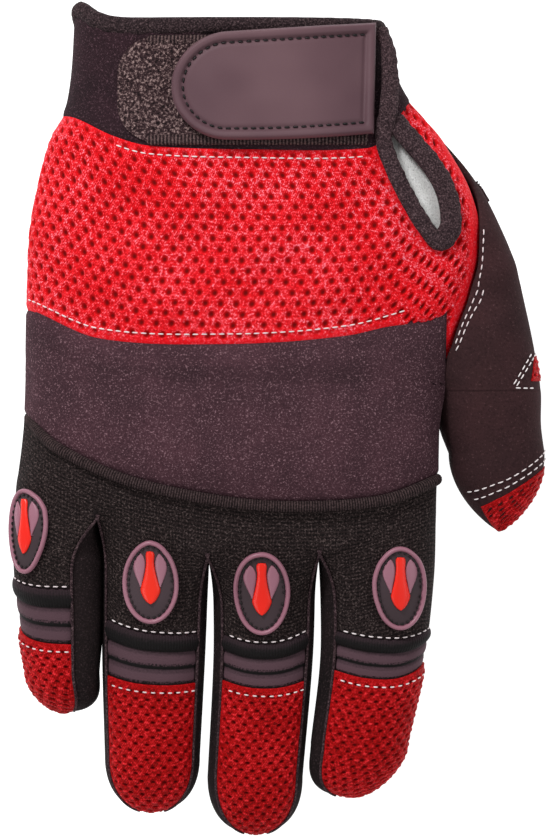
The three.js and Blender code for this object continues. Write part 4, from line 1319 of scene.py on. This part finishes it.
def back_range(name):
    """The local angles of the back, from the thumb side to the little side."""
    left, right = FINGERS[name]["edges"]
    return (BACK_EDGE if right is not None else PALM_EDGE,
            180 - BACK_EDGE if left is not None else 180 - PALM_EDGE)


def rows_between(top, last, end, step):
    """Rows of y from a line to a place and on to the very tip, closer together on the round end."""
    straight = np.linspace(0, 1, int((np.max(top) - last) / step) + 2)[:-1, None]
    bend = np.radians(np.linspace(0, 89, int((last - end) / step * 1.5)))[:, None]
    lower = np.broadcast_to(last + (end - last) * np.sin(bend), (len(bend), len(top)))
    return np.concatenate([mix(top[None, :], last, straight), lower])


def rows_to_tip(top, name, step):
    return rows_between(top, FINGERS[name]["line"][-1][0], FINGERS[name]["tip"][1], step)


def skin_for(name):
    return lambda angle, y: finger_skin(FINGERS[name], angle, y)


# %% Knit backs
def knit_back(name):
    low, high = back_range(name)
    skin_of = skin_for(name)
    angles = np.linspace(low, high, int(44 / FINGER_STEP))
    top = seam_at(PIPING_SEAM, angles, skin_of) - 0.2
    bottom = line_at(FINGER_LINES[name]["welt"], angles)
    skin = panel(angles, top, bottom, FINGER_STEP, skin_of)
    piece = cloth(name + "_knit_back", skin, FABRIC, KNIT, lengths=(skin[..., 0], measure(skin)[1]))
    nodes = [name + "_back"] + (["knuckle_knit"] if name == "middle" else [])
    sew(piece, "knit", KNUCKLES, *nodes)


for name in FINGERS:
    knit_back(name)

# %% Welt and pleats
FLEX_STEP = 0.3
WELT_SHARE = 0.36
LAST_FOLD = 2.999  # just under 3, where the finish would start a fourth fold


def flex_height(share):
    """Height of the welt and the two pleats, from the stitches (0) to the cap (1)."""
    welt = 1.5 * np.sqrt(np.clip(1 - ((share / WELT_SHARE - 0.55) / 0.47) ** 2, 0, 1))
    pleat = (share - WELT_SHARE) / (1 - WELT_SHARE) * 2
    pleats = np.where(pleat < 1, 0.7, 0.45) * np.abs(np.sin(pleat * math.pi)) ** 0.35
    return np.where(share < WELT_SHARE, welt, pleats) - 0.75


def flex_panel(name):
    low, high = back_range(name)
    skin_of = skin_for(name)
    angles = np.linspace(low, high, 64)
    top = line_at(FINGER_LINES[name]["welt"], angles) + 0.4
    bottom = line_at(FINGER_LINES[name]["cap"], angles) - 0.5
    skin = panel(angles, top, bottom, FLEX_STEP, skin_of)
    share = np.linspace(0, 1, skin.shape[0])[:, None] + 0 * skin[..., 0]
    folds = np.where(share < WELT_SHARE, share / WELT_SHARE,
                     1 + 2 * (share - WELT_SHARE) / (1 - WELT_SHARE))
    piece = cloth(name + "_flex_panel", raised(skin, flex_height(share)), FABRIC, FLEX,
                  lengths=(measure(skin)[0], np.minimum(folds, LAST_FOLD)))
    sew(piece, "flex_panel", finger_fold(name), name + "_flex")


for name in FINGERS:
    flex_panel(name)

# %% Red caps
CAP_DEPTH = 0.7
CAP_STEP = 0.42


def red_cap(name):
    low, high = back_range(name)
    angles = np.linspace(low, high, 96)
    top = line_at(FINGER_LINES[name]["cap"], angles)
    y = rows_to_tip(top, name, CAP_STEP)
    skin = finger_skin(FINGERS[name], angles[None, :], y)
    skin = raised(skin, 0.25 + 0.5 * smooth(to_border(skin), 0, 3))
    skin, net_cloth = netted(skin, TIP_NET, CAP_DEPTH, hem_width=1.2)
    sew(cloth(name + "_tip_mesh", skin, FABRIC, TIP_RED, **net_cloth), "red_mesh",
        finger_fold(name), name + "_tip_mesh")


for name in FINGERS:
    red_cap(name)

# %% Fourchettes and finger palms
def side_strip(name, side):
    """The strip on one side of a finger, from the crotch to the tip."""
    finger = FINGERS[name]
    edge = {"thumb_side": (PALM_EDGE, BACK_EDGE), "little_side": (180 - BACK_EDGE, 180 - PALM_EDGE)}[side]
    crotch = finger["crotch"][1 if side == "thumb_side" else 0]
    angles = np.linspace(*edge, 30)
    y = rows_to_tip(np.full(angles.shape, crotch + FOURCHETTE_TOP), name, FINGER_STEP)
    skin = finger_skin(finger, angles[None, :], y)
    bulge = 0.35 * smooth(to_border(skin), 0, 5)
    return cloth(name + "_fourchette_" + side, raised(skin, bulge), FABRIC, SIDE_CLOTH)


def finger_palm(name):
    finger = FINGERS[name]
    angles = np.linspace(180 - PALM_EDGE, 360 + PALM_EDGE, 54)
    y = rows_to_tip(np.full(angles.shape, -26.0), name, FINGER_STEP)
    skin = finger_skin(finger, angles[None, :], y)
    skin = rolled(skin, roll=0.35, reach=1.5)
    nodes = [name + "_palm", name + "_tip_palm"]
    sew(cloth(name + "_palm_side", skin, FABRIC, PALM_SUEDE), "suede", finger_fold(name), *nodes)


FOURCHETTES = [("little", "thumb_side"), ("ring", "little_side"), ("ring", "thumb_side"),
               ("middle", "little_side"), ("middle", "thumb_side"), ("index", "little_side")]
for name, side in FOURCHETTES:
    sew(side_strip(name, side), "fourchette_fabric", finger_fold(name), f"{name}_fourchette_{side}")
for name in FINGERS:
    finger_palm(name)

# %% Seams along the fingers
SEAM_CORD = 0.42


def edge_seam(name, side):
    """The overlocked seam between a finger's back and its side strip."""
    finger = FINGERS[name]
    crotch = finger["crotch"][1 if side == "thumb_side" else 0]
    angle = BACK_EDGE if side == "thumb_side" else 180 - BACK_EDGE
    angles = np.array([angle - 1.0, angle, angle + 1.0])
    y = rows_to_tip(np.full(angles.shape, crotch + 0.5), name, FINGER_STEP)[:-4]
    skin = raised(finger_skin(finger, angles[None, :], y), 0.35)
    cord = cord_along(f"{name}_seam_{side}", skin[:, 1], outward_of(skin)[:, 1], SEAM_CORD, SEAM_CORD,
                      BINDING, sides=8)
    sew(cord, "binding", finger_fold(name))


for name, side in FOURCHETTES:
    edge_seam(name, side)

# %% Finger stitches
CAP_STITCH_BELOW = 2.0
STITCH_INSET = 6.0  # degrees between a row of stitches and the seam at its end
SIDE_INSET = 14.0  # the same where the back runs on round the side of the glove


def stitched_angles(name):
    low, high = back_range(name)
    left, right = FINGERS[name]["edges"]
    roll = FINGERS[name]["roll"]
    start = low + STITCH_INSET if right is not None else roll + SIDE_INSET
    end = high - STITCH_INSET if left is not None else 180 + roll - SIDE_INSET
    return np.linspace(start, end, 60)


def finger_stitches(name):
    skin_of = skin_for(name)
    angles = stitched_angles(name)
    runs = []
    for line, below, lift in (("welt", -0.5, 0.25), ("cap", CAP_STITCH_BELOW, 0.8)):
        y = line_at(FINGER_LINES[name][line], angles) - below
        run = raised(skin_of(angles[None, :], np.stack([y, y - 0.5])), lift)
        runs.append(row_of(run, 0))
    welt = stitching(name + "_welt_stitches", runs[:1], WHITE_THREAD, length=1.5, gap=0.95, radius=0.22)
    sew(welt, "flex_panel", finger_fold(name))
    cap = stitching(name + "_cap_stitches", runs[1:], WHITE_THREAD, length=1.3, gap=1.1, radius=0.22)
    sew(cap, "red_mesh", finger_fold(name))


for name in FINGERS:
    finger_stitches(name)


# %% [markdown]
# ## Badges
#
# An oval rubber badge is sewn on each finger: a raised mauve ring, a dark field with a row of
# stitches, two mauve petals and a red drop between them. Each part is a small plate on the
# finger's skin. A plate has a middle line and a half width, so a petal and a drop are the same
# function with other numbers.

# %% Badge shapes
BADGE_HALF_WIDE, BADGE_HALF_LONG = 7.7, 11.8
BADGE_RING = 1.35
RING_LEVEL, FIELD_LEVEL, PETAL_LEVEL, DROP_LEVEL, STITCH_LEVEL = 1.1, 1.1, 1.25, 1.35, 1.32


def on_finger(name, p, q, height):
    """Points at p to the thumb side and q towards the hand from the badge's middle."""
    finger = FINGERS[name]
    skin_of = skin_for(name)
    spread = np.linspace(8, 172, 165)
    row = skin_of(spread, np.full(spread.shape, finger["badge"]))
    run = run_along(row)
    p, q = np.broadcast_arrays(np.asarray(p, float), np.asarray(q, float))
    y = finger["badge"] + q
    middle = np.interp(angle_where(skin_of, BADGE_PLACES[name], y), spread, run)
    angle = np.interp(middle - p * BADGE_SHARES[name], run, spread)
    point = skin_of(angle, y)
    outward = unit(np.cross(skin_of(angle + 1, y) - point, skin_of(angle, y - 0.5) - point))
    return point + outward * np.broadcast_to(height, np.shape(angle))[..., None], outward


BADGE_PLACES = {"little": -70.3, "ring": -35.4, "middle": -4.1, "index": 34.6}  # x of their middles
BADGE_SHARES = {"little": 0.84, "ring": 1.0, "middle": 1.0, "index": 1.0}  # of their width: one wraps a side


def lens(half_width_of, low, high, middle_of, height_of, across=9, rows=26):
    """A grid (p, q, height) round a middle line, with its own half width at each q."""
    q = mix(low, high, (1 - np.cos(np.linspace(0, math.pi, rows))) / 2)[:, None]
    t = np.linspace(-1, 1, across)[None, :]
    p = middle_of(q) + t * half_width_of(q)
    inner = np.minimum(1 - np.abs(t), 1) + 0 * q
    return p, q + 0 * t, height_of(inner)


def badge_plate(name, label, shape, base, thick, finish):
    p, q, height = shape
    points, _ = on_finger(name, p[::-1, ::-1], q[::-1, ::-1], base + height[::-1, ::-1])
    return cloth(name + label, points, thick, finish)


def oval(half_wide, half_long):
    return lambda q: half_wide * np.sqrt(np.maximum(1 - (q / half_long) ** 2, 0.0004))


# %% Badge parts
DROP_WIDTHS = [(-6.0, 0.3), (-5.5, 1.05), (-4.2, 1.95), (-2.2, 2.65), (-0.6, 2.3), (2.5, 1.55), (5.5, 1.2),
               (8.0, 1.32), (8.8, 1.0)]
STITCHES_IN = 1.15  # how far inside the ring the stitches run
PETAL_WIDTHS = [(-1.2, 0.15), (1.0, 0.85), (4.0, 1.6), (5.8, 1.5), (7.3, 0.85), (8.2, 0.12)]


def badge(name):
    ring_turn = np.linspace(0, 2 * math.pi, 72, endpoint=False)
    half_ring = BADGE_RING / 2
    ring, outward = on_finger(name, (BADGE_HALF_WIDE - half_ring) * np.cos(ring_turn),
                              (BADGE_HALF_LONG - half_ring) * np.sin(ring_turn), RING_LEVEL)
    ring_piece = cord_along(name + "_badge_ring", ring, outward, half_ring, 1.0, MAUVE, closed=True)
    sew(ring_piece, "badge_rubber", "fingers", name + "_badge")
    wide, long = BADGE_HALF_WIDE - half_ring, BADGE_HALF_LONG - half_ring
    field = lens(oval(wide, long), -long + 0.05, long - 0.05, lambda q: 0 * q,
                 lambda inner: 0.1 * smooth(inner, 0, 0.5), across=15, rows=30)
    sew(badge_plate(name, "_badge_field", field, FIELD_LEVEL, 1.6, FIELD), "badge_rubber", "fingers",
        name + "_badge_inlay")
    drop = lens(lambda q: along(DROP_WIDTHS, q), DROP_WIDTHS[0][0], DROP_WIDTHS[-1][0],
                lambda q: 0 * q, lambda inner: 0.55 * smooth(inner, -0.2, 0.55), across=11, rows=34)
    sew(badge_plate(name, "_badge_drop", drop, DROP_LEVEL, 0.9, INLAY), "badge_red", "fingers")
    for side, label in ((1, "_badge_petal_thumb_side"), (-1, "_badge_petal_little_side")):
        petal = lens(lambda q: along(PETAL_WIDTHS, q), PETAL_WIDTHS[0][0], PETAL_WIDTHS[-1][0],
                     lambda q: side * (2.75 + 0.3 * np.cos((q - 4) * 0.4)),
                     lambda inner: 0.35 * smooth(inner, -0.2, 0.6), across=9, rows=22)
        sew(badge_plate(name, label, petal, PETAL_LEVEL, 0.7, MAUVE), "badge_rubber", "fingers")
    inner_run = on_finger(name, (wide - STITCHES_IN) * np.cos(ring_turn),
                          (long - STITCHES_IN) * np.sin(ring_turn), STITCH_LEVEL)
    sew(stitching(name + "_badge_stitches", [inner_run], DARK_THREAD, length=1.0, gap=0.65, radius=0.27),
        "badge_rubber", "fingers")


for name in FINGERS:
    badge(name)

# %% [markdown]
# ## Thumb
#
# The thumb is brushed suede, sewn to the back of the glove along a curved seam with two rows of
# white stitches. A small red wedge is let into its outer side, and the tip has a patch of the red
# mesh under another double row. It is cut in two across its middle, where the thumb bends.

# %% Thumb panels
THUMB_TOP = 80.0
THUMB_SPLIT = 8.0
THUMB_BACK = (-28.0, 208.0)
THUMB_CAP = (-25.0, -22.6, -13.6)


def thumb_folds(p):
    """Slack creases of the suede at the root, where the thumb leans away from the hand."""
    x, y = p[..., 0], p[..., 1]
    crease = np.sin((y - 36) * 0.42 - (x - 60) * 0.22)
    where = np.exp(-((x - 59) / 9) ** 2 - ((y - 38) / 12) ** 2)
    return 0.75 * crease * where + 0.2 * np.sin(x * 0.21 + y * 0.13) + 0.15 * np.sin(y * 0.33)


def thumb_cloth(angles, y, more=0.0):
    """The outside of the thumb's suede, or a layer that lies this much more above it."""
    angles, y = np.broadcast_arrays(angles, y)
    skin = thumb_skin(angles, y)
    overlap = 0.07 * (y < THUMB_SPLIT)  # the lower half lies just over the upper one
    above = smooth(np.sin(np.radians(angles)), 0, 0.4)
    return raised(skin, 0.35 + overlap + thumb_folds(skin) * above + more)


def thumb_panel(label, angles, y, moves, finish, *nodes):
    sew(cloth(label, thumb_cloth(angles, y), FABRIC, finish), "suede", moves, *nodes)


back_turn = np.linspace(*THUMB_BACK, 100)
palm_turn = np.linspace(THUMB_BACK[1], 360 + THUMB_BACK[0], 44)
upper = np.linspace(THUMB_TOP, THUMB_SPLIT - 0.4, 110)[:, None]
turned = (back_turn - THUMB_BACK[0]) / (THUMB_BACK[1] - THUMB_BACK[0])
seam_edge = mix(thumb_seam_angle(upper), THUMB_BACK[1], 1 - smooth(upper, 9, 17))
to_seam = mix(THUMB_BACK[0], seam_edge, turned[None, :])
thumb_panel("thumb_back_panel", to_seam, upper, THUMB_ROOT, SUEDE, "thumb_back")
thumb_panel("thumb_palm_panel", palm_turn[None, :], upper, THUMB_ROOT, PALM_SUEDE, "thumb_palm")
for label, turn, finish, nodes in (
        ("thumb_back_lower", back_turn, SUEDE, ("thumb_tip_back", "thumb_flex")),
        ("thumb_palm_lower", palm_turn, PALM_SUEDE, ("thumb_tip_palm",))):
    rows = rows_between(np.full(turn.shape, THUMB_SPLIT), THUMB[-1][0], THUMB_TIP[1], 0.9)
    thumb_panel(label, turn[None, :], rows, THUMB_MIDDLE, finish, *nodes)

# %% Thumb cap and wedge
cap_turn = np.linspace(-28, 126, 90)
cap_top = line_at(THUMB_CAP, cap_turn)
cap_share = np.sin(np.radians(np.linspace(0, 89, 52)))[:, None]
cap_y = mix(cap_top[None, :], THUMB_TIP[1], cap_share)
cap_skin = thumb_cloth(cap_turn[None, :], cap_y, 0.35)
cap_skin, net_cloth = netted(cap_skin, TIP_NET, CAP_DEPTH, hem_width=1.2)
sew(cloth("thumb_cap_mesh", cap_skin, FABRIC, TIP_RED, **net_cloth), "red_mesh", THUMB_MIDDLE,
    "thumb_tip_mesh")

WEDGE_TOP, WEDGE_BOTTOM = 17.6, 10.4
WEDGE_ANGLES = (15.0, 38.0)  # where its slanted edge starts and ends
wedge_y = np.linspace(WEDGE_TOP, WEDGE_BOTTOM, 26)[:, None]
wedge_edge = mix(*WEDGE_ANGLES, (WEDGE_TOP - wedge_y) / (WEDGE_TOP - WEDGE_BOTTOM))
wedge_angle = mix(-20.0, wedge_edge, np.linspace(0, 1, 26)[None, :])
wedge_skin = thumb_cloth(wedge_angle, wedge_y, 0.35)
wedge_skin, net_cloth = netted(wedge_skin, TIP_NET, 0.5, hem_width=1.0)
sew(cloth("thumb_wedge", wedge_skin, FABRIC, TIP_RED, **net_cloth), "red_mesh", THUMB_ROOT)

# %% Thumb stitches
THUMB_GIRTH = 13.5  # half the thumb across, to turn a width into an angle


def beside_seam(start, end, away):
    """A run on the thumb, this far from its seam, from one y to another."""
    y = np.arange(start, end, -0.7)
    angle = thumb_seam_angle(y) - np.degrees(away / THUMB_GIRTH)
    near = thumb_cloth(np.stack([angle - 1, angle], -1), y[:, None], 0.12)
    return near[:, 1], outward_of(near)[:, 1]


root_runs = [beside_seam(53, 18, 1.2), beside_seam(36, 18, 2.5),
             on_skin(thumb_skin, [(73.0, 18.2), (70, 13.2), (67.2, 8.6)], 0.45),
             on_skin(thumb_skin, [(71.6, 18.0), (68.6, 12.8), (66.0, 8.4)], 0.45),
             on_skin(thumb_skin, [(67.2, 8.5), (70, 8.4), (73.4, 8.4)], 0.45)]
sew(stitching("thumb_root_stitches", root_runs, WHITE_THREAD, length=1.7, gap=0.8), "suede", THUMB_ROOT)
cap_runs = []
for above in (2.2, 4.4):
    turn = np.linspace(6, 150, 66)
    y = line_at(THUMB_CAP, turn) + above
    skin = thumb_cloth(turn[None, :], np.stack([y, y - 0.5]), 0.12)
    cap_runs.append(row_of(skin, 0))
sew(stitching("thumb_cap_stitches", cap_runs, WHITE_THREAD, length=1.7, gap=0.8), "suede", THUMB_MIDDLE)

# %% [markdown]
# ## Palm
#
# The palm is one panel of brushed suede with a second layer sewn over the heel of the hand. A
# glove that lies on its palm is nearly plane there, so both are.

# %% Palm panels
palm = panel(palm_angles, np.full(palm_angles.shape, 77.6), np.full(palm_angles.shape, -27.0),
             CLOTH_STEP)
palm_piece = cloth("palm_panel", rolled(palm, roll=0.3), FABRIC, PALM_SUEDE)
sew(palm_piece, "suede", KNUCKLES, "palm_panel", "palm_flex")
x, y, inside = plate(-52, 30, 6, 66, 12, 12, 1.6)
p = hand_point(palm_angle_at(x, y), y)
patch = p + np.array([0, 0, -0.55])
patch[..., 2] = np.maximum(patch[..., 2], 0.02)
patch_piece = cloth("palm_reinforcement", patch[:, ::-1], 0.9, SUEDE, lengths=(x, y))
sew(patch_piece, "suede", "hand", "palm_reinforcement")
